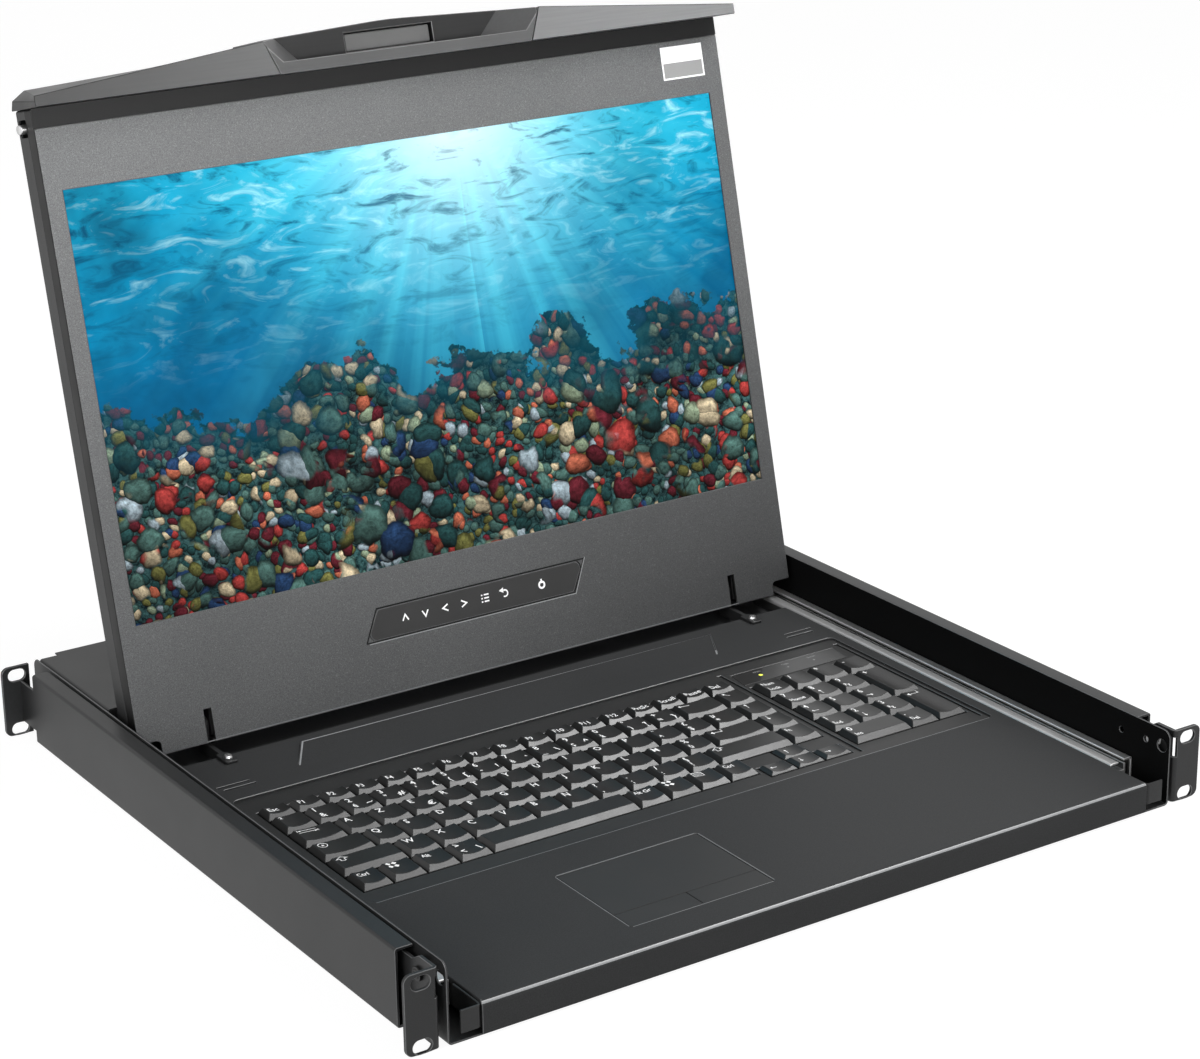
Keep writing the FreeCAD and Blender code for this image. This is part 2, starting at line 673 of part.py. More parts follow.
def key_rows():
    """Each group of keys: its name and the (x, y, width, depth) of its keys."""
    u, p = key_unit, row_pitch
    rows = {}

    def run(row, widths, start=0.0, depth=key_depth):
        keys, x = [], key_left + start * u
        for width in widths:
            keys.append((x, key_front + row * p, width * u, depth))
            x += width * u
        return keys

    top = [(key_left + i * top_row_pitch, key_front + 5 * p, top_row_pitch, top_row_depth)
           for i in range(17)]
    rows["function_keys"] = top
    rows["number_row_keys"] = run(4, [1] * 13 + [1.5, 1])
    rows["upper_row_keys"] = run(3, [1.35] + [1] * 12 + [1.15, 1])
    rows["home_row_keys"] = run(2, [1.625] + [1] * 11 + [1.875, 1])
    rows["lower_row_keys"] = run(1, [1.98] + [1] * 10 + [2.52, 1])
    rows["bottom_row_keys"] = run(0, [0.91, 1, 1, 1]) + run(0, [1, 1, 1, 0.95], start=8.57)
    rows["space_bar"] = run(0, [4.66], start=3.91)
    left, front = key_left + 15.5 * u - 3 * arrow_pitch, key_front - arrow_drop
    rows["arrow_keys"] = [
        (left + column * arrow_pitch, front + line * arrow_depth, arrow_pitch, arrow_depth,
         arrow_height) for column, line in ((0, 0), (1, 0), (2, 0), (1, 1))]
    pad = []
    for row in range(4):
        for col in range(3):
            if row == 0 and col == 0:
                pad.append((pad_left, key_front, 2 * u, key_depth))
            elif row or col == 2:
                pad.append((pad_left + col * u, key_front + row * p, u, key_depth))
    pad += [(pad_left + col * u, key_front + 4 * p, u, key_depth) for col in range(4)]
    pad += [(pad_left + 3 * u, key_front + row * p, u, key_depth + p) for row in (0, 2)]
    rows["number_pad_keys"] = pad
    return rows


def build_keyboard():
    """Keyboard frame, key groups and the switch membrane under them."""
    rows = key_rows()
    u, p = key_unit, row_pitch
    play = 0.3
    frame = box((-frame_half, frame_half), (frame_front, frame_back),
                (frame_top - frame_sheet, frame_top))
    main_right = key_left + 15.5 * u
    cut_z = (frame_top - frame_sheet - 1, frame_top + 1)
    bottom_right = key_left + 12.52 * u
    main_back = key_front + 5 * p + top_row_depth + play
    main = [(key_left - play, key_front - play), (bottom_right + play, key_front - play),
            (bottom_right + play, key_front + p - play), (main_right + play, key_front + p - play),
            (main_right + play, main_back), (key_left - play, main_back)]
    frame = frame.cut(prism(main, "xy", *cut_z))
    arrows_left, arrows_front = main_right - 3 * arrow_pitch, key_front - arrow_drop
    frame = frame.cut(box((arrows_left - play, main_right + play),
                          (arrows_front - play, arrows_front + arrow_depth + play), cut_z))
    frame = frame.cut(box((main_right - 2 * arrow_pitch - play, main_right - arrow_pitch + play),
                          (arrows_front + arrow_depth - play, key_front + p), cut_z))
    frame = frame.cut(box((pad_left - play, pad_left + 4 * u + play),
                          (key_front - play, key_front + 4 * p + key_depth + play), cut_z))
    for x in ((main_right + pad_left) / 2.0, pad_left + 4 * u + 2.6):
        frame = frame.cut(box((x - groove_half, x + groove_half),
                              (window_front + 7, window_back - 7.5),
                              (frame_top - frame_sheet + 0.2, cut_z[1])))
    frame = frame.cut(prism(led_outline(0.2), "xy", frame_top - 0.7, cut_z[1]))
    save("keyboard_frame", frame)
    save("led_window", prism(led_outline(0.0), "xy", frame_top - 0.7, frame_top + 0.1))
    for node, keys in rows.items():
        save(node, *[key_cap(*key) for key in keys])
    membrane = box((-frame_half, frame_half), (frame_front, frame_back),
                   (membrane_top - 1.5, membrane_top))
    rim = box((-frame_half, frame_half), (frame_front, frame_back),
              (membrane_top, frame_top - frame_sheet))
    hollow = box((-frame_half + 4, frame_half - 4), (frame_front + 4, frame_back - 4),
                 (membrane_top, frame_top))
    save("keyboard_base", membrane.fuse(rim.cut(hollow)).removeSplitter())


def led_outline(grow):
    left, right = pad_left - 0.6 - grow, pad_left + 71.4 + grow
    front, back = 227.0 - grow, 243.0 + grow
    return [(left, front), (right, front), (right + 2, back), (left + 2, back)]


# --- touchpad ---------------------------------------------------------------------------
def build_touchpad():
    """The sensing plate, its two buttons and the board under them."""
    top = deck_top - 0.15
    x0, x1 = pad_x[0] + pad_gap, pad_x[1] - pad_gap
    plate = prism(rectangle((x0, x1), (button_line + pad_gap / 2, pad_y[1] - pad_gap)), "xy",
                  top - 2.0, top, radii=0.6)
    save("touchpad_plate", plate)
    middle = (x0 + x1) / 2.0
    for node, a, b in (("touch_button_left", x0, middle - pad_gap / 2),
                       ("touch_button_right", middle + pad_gap / 2, x1)):
        save(node, prism(rectangle((a, b), (pad_y[0] + pad_gap, button_line - pad_gap / 2)), "xy",
                         top - 1.6, top, radii=0.6))
    board = box((pad_x[0] - 3, pad_x[1] + 3), (pad_y[0] - 3, pad_y[1] + 3), (top - 4.4, top - 2.9))
    step = box((x0 + 1, x1 - 1), (button_line + 1, pad_y[1] - 1.5), (top - 2.9, top - 2.0))
    domes = [rod((x, (pad_y[0] + button_line) / 2, top - 2.9), (0, 0, 1), 6.0, 0.5)
             for x in ((x0 + middle) / 2, (x1 + middle) / 2)]
    save("touchpad_board", fused([board, step] + domes))


# --- hinges -----------------------------------------------------------------------------
def build_hinges():
    """A leaf from a foot on the deck to the axis, its pin, and the knuckle inside the lid."""
    foot_front, foot_back = deck_back - 14.0, deck_back + 2.0
    foot_top = deck_top + 1.6
    leaf_x = (hinge_x - hinge_leaf / 2, hinge_x + hinge_leaf / 2)
    boss = 4.6
    outline = [(foot_front, deck_top), (deck_back, deck_top), (deck_back + 1.5, deck_top - 5.0),
               (hinge_y + boss, deck_top - 5.0), (hinge_y + boss, hinge_z + boss),
               (hinge_y - boss, hinge_z + boss), (hinge_y - boss, foot_top),
               (foot_front, foot_top)]
    leaf = prism(outline, "yz", *leaf_x, radii=[0, 0, 1.5, 3, boss - 0.01, boss - 0.01, 1.0, 0])
    foot = prism(rectangle((hinge_x - foot_half, hinge_x + foot_half),
                           (foot_front, deck_back - 1)), "xy", deck_top, foot_top, radii=1.5)
    leaf = leaf.fuse(foot).removeSplitter()
    leaf = leaf.cut(rod((leaf_x[0] - 1, hinge_y, hinge_z), (1, 0, 0), pin_dia + 0.1,
                        hinge_leaf + 2))
    leaf = leaf.cut(rod((hinge_x, foot_screw_y, deck_top - 1), (0, 0, 1), 3.3, 4))
    save("hinge_leaves", leaf, mirror(leaf))
    screw = rod((hinge_x, foot_screw_y, foot_top), (0, 0, 1), 5.0, 0.2)
    screw = screw.fuse(rod((hinge_x, foot_screw_y, foot_top - 6.0), (0, 0, 1), 3.0, 6.0))
    save("hinge_screws", screw, mirror(screw))
    pin = rod((hinge_x - 9.0, 0, -hinge_depth), (1, 0, 0), pin_dia, 18.0)
    save("hinge_pins", to_lid(pin), to_lid(mirror(pin)))
    blocks = []
    for near, far in ((2.0, 9.0), (-9.0, -2.0)):
        block = box((hinge_x + near, hinge_x + far), (-6.0, 6.0), (-lid_thick + 2, -3.0))
        blocks.append(block.cut(rod((hinge_x - 10, 0, -hinge_depth), (1, 0, 0), pin_dia, 20.0)))
    bridge = box((hinge_x - 9.0, hinge_x + 9.0), (hinge_slot_top + 0.5, hinge_slot_top + 8.0),
                 (-lid_thick + 2, -3.0))
    arms = [box((hinge_x + a, hinge_x + b), (5.0, hinge_slot_top + 1.0), (-lid_thick + 2, -3.0))
            for a, b in ((2.0 + 0.2, 9.0), (-9.0, -2.0 - 0.2))]
    knuckle = fused(blocks + arms + [bridge])
    save("hinge_knuckles", to_lid(knuckle), to_lid(mirror(knuckle)))


def both_sides_in_lid(node, shape):
    save(node + "_right", to_lid(shape))
    save(node + "_left", to_lid(mirror(shape)))


# --- lid --------------------------------------------------------------------------------
# The lid's pieces are drawn in its own frame: x, then up the lid from the hinge axis, then
# out of the screen from the bezel's face.
def hinge_slots():
    """The open slots at the lid's foot that the hinge leaves pass through."""
    cuts = []
    for side in (-1, 1):
        span = (side * hinge_x - hinge_slot / 2, side * hinge_x + hinge_slot / 2)
        cuts.append(box(span, (lid_low - 1, hinge_slot_top), (-lid_thick - 1, 1)))
    return Part.makeCompound(cuts)


def corner_notches():
    """The lid's lower corners are cut away over the slides."""
    cuts = []
    for side in (-1, 1):
        span = (side * (inner_x[0] - 0.5), side * (lid_half + 3))
        outline = rectangle(span, (lid_low - 3, lid_low + notch_high))
        cuts.append(prism(outline, "xy", -lid_thick - 1, 1, radii=2.5))
    return Part.makeCompound(cuts)


def stem_slot():
    """The opening in the lid's top edge for the release button's stem."""
    return box((-stem_half - 0.4, stem_half + 0.4), (lid_high - 3, handle_low + 3),
               (stem_w[0] - release_travel - 0.4, stem_w[1] + release_rise + 0.4))


def lid_outline(inset=0.0):
    return rectangle((-lid_half + inset, lid_half - inset), (lid_low + inset, lid_high - inset))


def build_bezel():
    """The front of the lid: a flat face around the screen with shallow sides."""
    bezel = prism(lid_outline(), "xy", -bezel_depth, 0, radii=1.5)
    rim = [e for e in bezel.Edges if e.BoundBox.ZMin > -1e-6 and e.BoundBox.YMin < lid_high - 1]
    bezel = bezel.makeFillet(0.8, rim)
    bezel = bezel.cut(prism(lid_outline(lid_sheet), "xy", -bezel_depth - 1, -lid_sheet, radii=0.8))
    bezel = bezel.cut(box((-screen_wide / 2, screen_wide / 2),
                          (screen_mid - screen_high / 2, screen_mid + screen_high / 2), (-5, 1)))
    bezel = bezel.cut(prism(strip_outline(0.15), "xy", -0.6, 1, radii=strip_radii))
    bezel = bezel.cut(box((-lid_half - 1, lid_half + 1), (strip_low, lid_high + 1), (-0.9, 1)))
    bezel = bezel.cut(corner_notches()).cut(hinge_slots()).cut(stem_slot())
    save("lid_bezel", to_lid(bezel))
    strip = prism(rectangle((-lid_half, lid_half), (strip_low + 0.1, lid_high)), "xy", -0.9, -0.1,
                  radii=0.6)
    save("bezel_top_strip", to_lid(strip))
    save("menu_strip", to_lid(prism(strip_outline(0.0), "xy", -0.6, -0.05, radii=strip_radii)))


def strip_outline(grow):
    low, high = 22.8 - grow, 39.8 + grow
    return [(-72.0 - grow, low), (64.0 + grow, low), (73.0 + grow, high), (-63.0 - grow, high)]


def build_lid_back():
    """The rear shell with a shallow raised panel and the openings for the latch bolts."""
    shell = prism(lid_outline(), "xy", lid_back, -bezel_depth, radii=1.5)
    rear_edges = [e for e in shell.Edges if abs(e.BoundBox.ZMin - lid_back) < 1e-6
                  and abs(e.BoundBox.ZMax - lid_back) < 1e-6]
    shell = shell.makeChamfer(1.2, rear_edges)
    shell = shell.cut(prism(lid_outline(lid_sheet), "xy", lid_back + lid_sheet, 1, radii=0.8))
    groove = prism(rectangle((-150, 150), (60, 290)), "xy", lid_back - 1, lid_back + 0.6, radii=12)
    land = prism(rectangle((-148, 148), (62, 288)), "xy", lid_back - 2, lid_back + 1, radii=10)
    shell = shell.cut(groove.cut(land))
    for side in (-1, 1):
        opening = prism(rectangle((bolt_up - 4.4, bolt_up + 4.8), (-19.0, -bezel_depth - 0.2)), "yz",
                        side * (lid_half - 3), side * (lid_half + 1), radii=2.0)
        shell = shell.cut(opening)
    for i in range(14):
        for side in (-1, 1):
            x = side * (60 + 7.5 * i)
            shell = shell.cut(prism(rectangle((x - 1.5, x + 1.5), (24, 44)), "xy", lid_back - 1,
                                    lid_back + 3, radii=1.49))
    shell = shell.cut(corner_notches()).cut(hinge_slots()).cut(stem_slot())
    save("lid_back_shell", to_lid(shell))


def build_screen():
    """The display: cover glass, module tray and the driver board behind it."""
    high = (screen_mid - screen_high / 2 - 5, screen_mid + screen_high / 2 + 5)
    wide = (-screen_wide / 2 - 4, screen_wide / 2 + 4)
    glass_back = -lid_sheet - 0.1 - glass_thick
    save("screen_glass", to_lid(box(wide, high, (glass_back, -lid_sheet - 0.1))))
    module = box(wide, high, (glass_back - module_thick, glass_back))
    module = module.cut(box((wide[0] + 6, wide[1] - 6), (high[0] + 6, high[1] - 6),
                            (glass_back - module_thick - 1, glass_back - module_thick + 2)))
    save("screen_module", to_lid(module))
    seat = glass_back - module_thick + 2
    board = box((-90, 60), (110, 190), (seat - 7.2, seat - 5.6))
    posts = [rod((x, y, seat - 5.6), (0, 0, 1), 5, 5.6) for x in (-86, 56) for y in (114, 186)]
    parts = [box((-60, -20), (130, 170), (seat - 8.4, seat - 7.2)),
             box((10, 40), (120, 150), (seat - 5.6, seat - 2.6))]
    save("driver_board", to_lid(fused([board] + posts + parts)))


# --- handle and latch -------------------------------------------------------------------
def handle_body():
    """The whole bar before the grip is parted off: wings that rise towards the middle."""
    def ring(level, points):
        line = [V(x, handle_low + v, level) for x, v in points]
        line += [V(-x, handle_low + v, level) for x, v in points[::-1]]
        return Part.makePolygon(line + line[:1])

    front = ring(handle_front, [(handle_half, 0), (handle_half, end_low / 2),
                                (handle_half, end_low), (grip_high_half, wing_high)])
    back = ring(handle_back, [(handle_half - 2.5, 0), (handle_half - 3.5, end_high / 2),
                              (handle_half - 11.0, end_high), (grip_high_half, wing_high - 3.2)])
    return Part.makeLoft([back, front], True, True)


def grip_wedge(grow, top):
    low, high = grip_low_half + grow, grip_high_half + grow
    slope = (high - low) / wing_high
    return [(-low, handle_low - 1), (low, handle_low - 1), (low + slope * top, handle_low + top),
            (-low - slope * top, handle_low + top)]


def build_handle():
    """Two wings and, between them, the grip with its finger well."""
    body = handle_body()
    gap = 0.15
    parting = prism(grip_wedge(gap, 40.0), "xy", handle_back - 5, handle_front + 5)
    wings = sorted(body.cut(parting).Solids, key=lambda s: s.CenterOfMass.x)
    save("handle_wing_left", to_lid(wings[0]))
    save("handle_wing_right", to_lid(wings[-1]))
    roof_low = handle_low + wing_high - 0.2
    roof = [(-grip_high_half, handle_low), (grip_high_half, handle_low),
            (grip_high_half, roof_low), (well_high_half, roof_low + 1.6),
            (0, handle_low + crown_high + 1.0), (-well_high_half, roof_low + 1.6),
            (-grip_high_half, roof_low)]
    grip = prism(roof, "xy", handle_back, handle_front, radii=[0, 0, 0, 6, 260, 6, 0])
    grip = grip.common(prism(grip_wedge(-gap, 40.0), "xy", handle_back - 1, handle_front + 1))
    top, floor = handle_low + crown_high + 8, handle_low + well_floor
    slope = (well_high_half - well_low_half) / (wing_high - well_floor)
    rise = (top - floor) * slope

    def outline(level, low_half):
        ring = [V(-low_half, floor, level), V(low_half, floor, level),
                V(low_half + rise, top, level), V(-low_half - rise, top, level)]
        return Part.makePolygon(ring + ring[:1])

    well = Part.makeLoft([outline(well_back, well_low_half),
                          outline(handle_front + 1, grip_low_half - 1.2)], True, True)
    grip = grip.cut(well)
    pocket = rectangle((-button_half - 1.2, button_half + 1.2),
                       (handle_low + button_low - 0.4, handle_low + button_high + 0.9))
    grip = grip.cut(prism(pocket, "xy", button_back - release_travel - 0.5, well_back + 2))
    grip = grip.cut(box((-stem_half - 0.4, stem_half + 0.4), (handle_low - 1, handle_low + 9),
                        (button_back - release_travel - 0.5, stem_w[1] + release_rise + 0.4)))
    save("handle_grip", to_lid(grip))
    button = prism(rectangle((-button_half, button_half),
                             (handle_low + button_low, handle_low + button_high)), "xy",
                   button_back, button_face, radii=0.8)
    stem = box((-stem_half, stem_half), (bolt_up - 4.0, handle_low + button_low + 2), stem_w)
    save("release_button", to_lid(fused([button, stem])))


def build_latch():
    """The sprung side bolts with their rods, and the guides that they run in."""
    length = bolt_rest_tip - bolt_root
    bolt = rod((bolt_root, bolt_up, -bolt_depth), (1, 0, 0), bolt_dia, length)
    bevel = prism([(bolt_rest_tip - 3.0, -bolt_depth + bolt_dia), (bolt_rest_tip + 1,
                  -bolt_depth + bolt_dia), (bolt_rest_tip + 1, -bolt_depth - 0.8)], "xz",
                  bolt_up - 5, bolt_up + 5)
    bolt = bolt.cut(bevel)
    link = rod((stem_half + bolt_travel + 0.8, bolt_up, -bolt_depth), (1, 0, 0), rod_dia,
               bolt_root - stem_half - bolt_travel - 0.8)
    both_sides_in_lid("latch_bolt", fused([bolt, link]))
    guides = []
    for x, bore in ((40.0, rod_dia), (150.0, rod_dia), (bolt_root + 9.0, bolt_dia)):
        block = box((x, x + 8.0), (bolt_up - 5.0, bolt_up + 5.0), (lid_back + lid_sheet, -9.6))
        block = block.cut(rod((x - 1, bolt_up, -bolt_depth), (1, 0, 0), bore + 0.12, 10.0))
        guides.append(block)
    save("latch_guides", *[to_lid(g) for g in guides + [mirror(g) for g in guides]])


def build_lid_screws():
    """Flat-headed screws in the rear shell."""
    screws = []
    for x in (-195.0, -65.0, 65.0, 195.0):
        for v in (14.0, 312.0):
            screws.append(rod((x, v, lid_back), (0, 0, 1), 5.0, 0.4).cut(
                rod((x, v, lid_back - 1), (0, 0, 1), 1.6, 1.2)))
    save("lid_screws", *[to_lid(s.translate(V(0, 0, -0.4))) for s in screws])


os.makedirs("parts", exist_ok=True)
build_case()
build_front_brackets()
build_bracket_spacers()
build_rear_brackets()
build_slides()
build_deck()
build_tray()
build_rear_housing()
build_electronics()
build_keyboard()
build_touchpad()
build_hinges()
build_bezel()
build_lid_back()
build_screen()
build_handle()
build_latch()
build_lid_screws()
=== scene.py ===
"""A rackmount console drawer: its finishes, lettering, fine parts, floor, lights and camera."""
import json
import logging
import math
from dataclasses import dataclass, field
from enum import Enum
from typing import Callable, Dict, Iterable, List, Optional, Sequence, Tuple

import bmesh
import bpy
from mathutils import Matrix, Vector
from mathutils.bvhtree import BVHTree
from mathutils.geometry import tessellate_polygon

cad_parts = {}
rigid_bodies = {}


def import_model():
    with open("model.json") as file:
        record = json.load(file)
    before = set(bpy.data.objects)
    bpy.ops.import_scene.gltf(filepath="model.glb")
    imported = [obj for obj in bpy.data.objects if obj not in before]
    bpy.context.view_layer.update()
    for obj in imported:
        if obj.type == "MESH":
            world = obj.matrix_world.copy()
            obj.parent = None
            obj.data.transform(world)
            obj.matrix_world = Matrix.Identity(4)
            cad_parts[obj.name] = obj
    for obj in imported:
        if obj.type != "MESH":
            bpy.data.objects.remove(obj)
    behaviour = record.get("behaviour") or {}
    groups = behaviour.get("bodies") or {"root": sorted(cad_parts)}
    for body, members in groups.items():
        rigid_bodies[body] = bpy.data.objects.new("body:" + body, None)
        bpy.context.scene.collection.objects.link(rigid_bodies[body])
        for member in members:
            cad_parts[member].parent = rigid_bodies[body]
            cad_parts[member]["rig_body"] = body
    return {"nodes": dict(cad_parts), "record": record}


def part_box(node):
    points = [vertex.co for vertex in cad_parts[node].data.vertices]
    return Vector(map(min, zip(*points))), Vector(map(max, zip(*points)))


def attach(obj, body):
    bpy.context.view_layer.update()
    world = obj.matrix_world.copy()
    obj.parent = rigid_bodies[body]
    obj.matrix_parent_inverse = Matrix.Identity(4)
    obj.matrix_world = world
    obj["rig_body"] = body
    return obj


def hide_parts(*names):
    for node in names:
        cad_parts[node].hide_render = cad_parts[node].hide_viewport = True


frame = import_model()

LOG = logging.getLogger("console_drawer")
MM = 0.001
Colour = Tuple[float, float, float]
Point2 = Tuple[float, float]
Point3 = Tuple[float, float, float]
Span4 = Tuple[float, float, float, float]
Socket = bpy.types.NodeSocket
BLACK, WHITE = (0.0, 0.0, 0.0), (1.0, 1.0, 1.0)
CORE = (0.3, 0.7)  # the range that most of a noise's values fall in


def grey(value: float, warm: float = 0.0) -> Colour:
    """Returns a near-neutral linear colour, bluish where warm is negative."""
    return (value * (1 + warm), value, value * (1 - warm))


def shades(tone: Colour, spread: float) -> List[Colour]:
    """Returns a colour's darker and its lighter version."""
    return [tuple(c * gain for c in tone) for gain in (1 - spread, 1 + spread)]


# --- node trees -------------------------------------------------------------------------
class Wiring:
    """A node tree, with short calls that add nodes and join them."""

    def __init__(self, tree: bpy.types.NodeTree) -> None:
        """Takes a tree and empties it."""
        self.tree = tree
        tree.nodes.clear()

    def node(self, kind: str, inputs: Optional[Dict[object, object]] = None, **values: object
             ) -> bpy.types.Node:
        """Adds a node, sets its properties and fills its inputs.

        Args:
            kind: the node's type, without ShaderNode where it starts with that.
            inputs: what each input gets, by the input's name or number.
            **values: properties of the node.

        Returns:
            The new node.
        """
        made = self.tree.nodes.new(kind if "Node" in kind else "ShaderNode" + kind)
        for key, value in values.items():
            setattr(made, key, value)
        for key, value in (inputs or {}).items():
            self.put(made.inputs[key], value)
        return made

    def put(self, socket: Socket, value: object) -> None:
        """Links an input or sets its constant.

        Args:
            socket: the input to fill.
            value: another node's output, a number, a vector or a colour.
        """
        if isinstance(value, Socket):
            self.tree.links.new(value, socket)
        elif socket.type == "RGBA" and len(value) == 3:
            socket.default_value = (*value, 1.0)
        else:
            socket.default_value = value

    def math(self, operation: str, a: object, b: object = 0.0, clamp: bool = False) -> Socket:
        """Adds a math node of two operands; clamp keeps its result within 0 to 1."""
        return self.node("Math", {0: a, 1: b}, operation=operation, use_clamp=clamp).outputs[0]

    def times(self, a: object, b: object) -> Socket:
        """Multiplies two values."""
        return self.math("MULTIPLY", a, b)

    def looked_at(self, lit: bpy.types.Node, white: bpy.types.Node, share: float) -> Socket:
        """Mixes a shader that lights the scene with the white one that is looked at.

        Args:
            lit: the shader that other surfaces are lit by.
            white: what the eye sees, directly, in a shine or through glass.
            share: how much of the white one is seen then.

        Returns:
            The mixed shader.
        """
        rays = self.node("LightPath").outputs
        straight = self.math("MAXIMUM", rays["Is Camera Ray"], rays["Is Glossy Ray"])
        seen = self.math("MAXIMUM", straight, rays["Is Transmission Ray"])
        return self.node("MixShader", {0: self.times(seen, share), 1: lit.outputs[0],
                                       2: white.outputs[0]}).outputs[0]


class Shader(Wiring):
    """A material's node tree, with the patterns that the finishes share."""

    def __init__(self, name: str) -> None:
        """Starts a material that has only its output.

        Args:
            name: the material's name.
        """
        self.material = bpy.data.materials.new(name)
        self.material.use_nodes = True
        super().__init__(self.material.node_tree)
        self.output = self.node("OutputMaterial").inputs["Surface"]

    def place(self, scale: Point3 = (1, 1, 1), turn: Point3 = (0, 0, 0),
              shift: Point3 = (0, 0, 0), uv: bool = False) -> Socket:
        """Gives object coordinates, or the piece's UV map, stretched, turned and shifted."""
        source = self.node("TexCoord").outputs["UV" if uv else "Object"]
        return self.node("Mapping", {"Vector": source, "Location": shift, "Rotation": turn,
                                     "Scale": scale}).outputs["Vector"]

    def noise(self, vector: Socket, scale: float, detail: float = 2.0, rough: float = 0.5,
              distortion: float = 0.0) -> Socket:
        """Adds a noise texture and returns its factor."""
        return self.node("TexNoise", {"Vector": vector, "Scale": scale, "Detail": detail,
                                      "Roughness": rough, "Distortion": distortion}).outputs["Fac"]

    def axes(self, vector: Socket) -> Sequence[Socket]:
        """Splits a vector into its three coordinates."""
        return self.node("SeparateXYZ", {0: vector}).outputs

    def span(self, value: Socket, low: float, high: float, to_low: float = 0.0,
             to_high: float = 1.0, smooth: bool = False) -> Socket:
        """Maps the range from low to high onto another, clamped and, if smooth, eased."""
        made = self.node("MapRange", {"Value": value, "From Min": low, "From Max": high,
                                      "To Min": to_low, "To Max": to_high},
                         interpolation_type="SMOOTHSTEP" if smooth else "LINEAR")
        return made.outputs["Result"]

    def ramp(self, value: Socket, stops: Sequence[Tuple[float, Colour]], constant: bool = False
             ) -> Socket:
        """Turns a factor into a colour.

        Args:
            value: the factor, 0 to 1.
            stops: places along the factor and their colours.
            constant: whether each colour holds up to the next stop.

        Returns:
            The colour.
        """
        made = self.node("ValToRGB", {0: value})
        made.color_ramp.interpolation = "CONSTANT" if constant else "LINEAR"
        elements = made.color_ramp.elements
        while len(elements) < len(stops):
            elements.new(0.5)
        for element, (place, colour) in zip(elements, stops):
            element.position = place
            element.color = (*colour, 1.0)
        return made.outputs["Color"]

    def mix(self, factor: object, a: object, b: object, blend: str = "MIX") -> Socket:
        """Mixes two colours by a factor."""
        return self.node("Mix", {0: factor, 6: a, 7: b}, data_type="RGBA",
                         blend_type=blend).outputs[2]

    def dimmed(self, colour: object, level: Socket) -> Socket:
        """Multiplies a colour by a level."""
        shade = self.node("CombineColor", {0: level, 1: level, 2: level}).outputs[0]
        return self.mix(1.0, colour, shade, "MULTIPLY")

    def bump(self, height: Socket, distance: float, strength: float) -> Socket:
        """Turns a height, of so many metres at 1, into a normal."""
        return self.node("Bump", {"Height": height, "Distance": distance,
                                  "Strength": strength}).outputs["Normal"]

    def surface(self, colour: object, roughness: object, **others: object
                ) -> bpy.types.Material:
        """Ends the tree in one Principled shader.

        Args:
            colour: the base colour or the output that gives it.
            roughness: the roughness or the output that gives it.
            **others: other inputs by name, with _ for a space.

        Returns:
            The finished material.
        """
        inputs = {"Base Color": colour, "Roughness": roughness}
        inputs.update((key.replace("_", " "), value) for key, value in others.items())
        self.put(self.output, self.node("BsdfPrincipled", inputs).outputs["BSDF"])
        return self.material


# --- finishes ---------------------------------------------------------------------------
@dataclass(frozen=True)
class PowderCoat:
    """Baked powder paint: a fine pebbled skin with lighter and darker grains."""

    name: str
    tone: float
    grain: float = 0.35
    roughness: float = 0.5
    relief: float = 0.00004
    gloss: float = 0.5
    fineness: float = 1500.0
    flecks: float = 0.0
    # share of painted shade mixed in at the lower right; none where it is 0
    painted_shade: float = 0.0
    clouding: float = 14.0
    fleck_size: float = 1250.0
    fleck_gain: float = 2.6

    def flecked(self, s: Shader, colour: Socket) -> Socket:
        """Scatters light grains over the paint.

        Args:
            s: the material's tree.
            colour: the paint's colour.

        Returns:
            The flecked colour.
        """
        sparks = s.noise(s.place(shift=(0.4, 0.2, 0.7)), self.fleck_size, 1.0)
        share = s.times(s.span(sparks, 0.62, 0.72), self.flecks)
        return s.mix(share, colour, grey(self.tone * self.fleck_gain))

    def shade_lower_right(self, s: Shader, colour: Socket) -> Socket:
        """Darkens the paint towards the lower right with painted shade.

        Args:
            s: the material's tree.
            colour: the paint's colour.

        Returns:
            The shaded colour.
        """
        x, _, z = s.axes(s.place())
        # painted shade: black mixed in more towards the right and the bottom
        shade_mask = s.times(s.span(x, -0.03, 0.2), s.span(z, 0.2, 0.02, 0.0, self.painted_shade))
        return s.mix(shade_mask, colour, BLACK)

    def material(self) -> bpy.types.Material:
        """Makes the paint.

        Returns:
            The material.
        """
        s = Shader(self.name)
        place = s.place()
        fine, coarse = s.noise(place, self.fineness, 2.0, 0.6), s.noise(place, self.clouding, 3.0)
        colour = s.mix(s.span(fine, *CORE), *shades(grey(self.tone, -0.02), self.grain))
        colour = s.dimmed(colour, s.span(coarse, *CORE, 0.94, 1.06))
        if self.flecks:
            colour = self.flecked(s, colour)
        if self.painted_shade:
            colour = self.shade_lower_right(s, colour)
        rough = s.span(coarse, 0.2, 0.8, self.roughness - 0.05, self.roughness + 0.06)
        return s.surface(colour, rough, Normal=s.bump(fine, self.relief, 0.7),
                         Specular_IOR_Level=self.gloss)


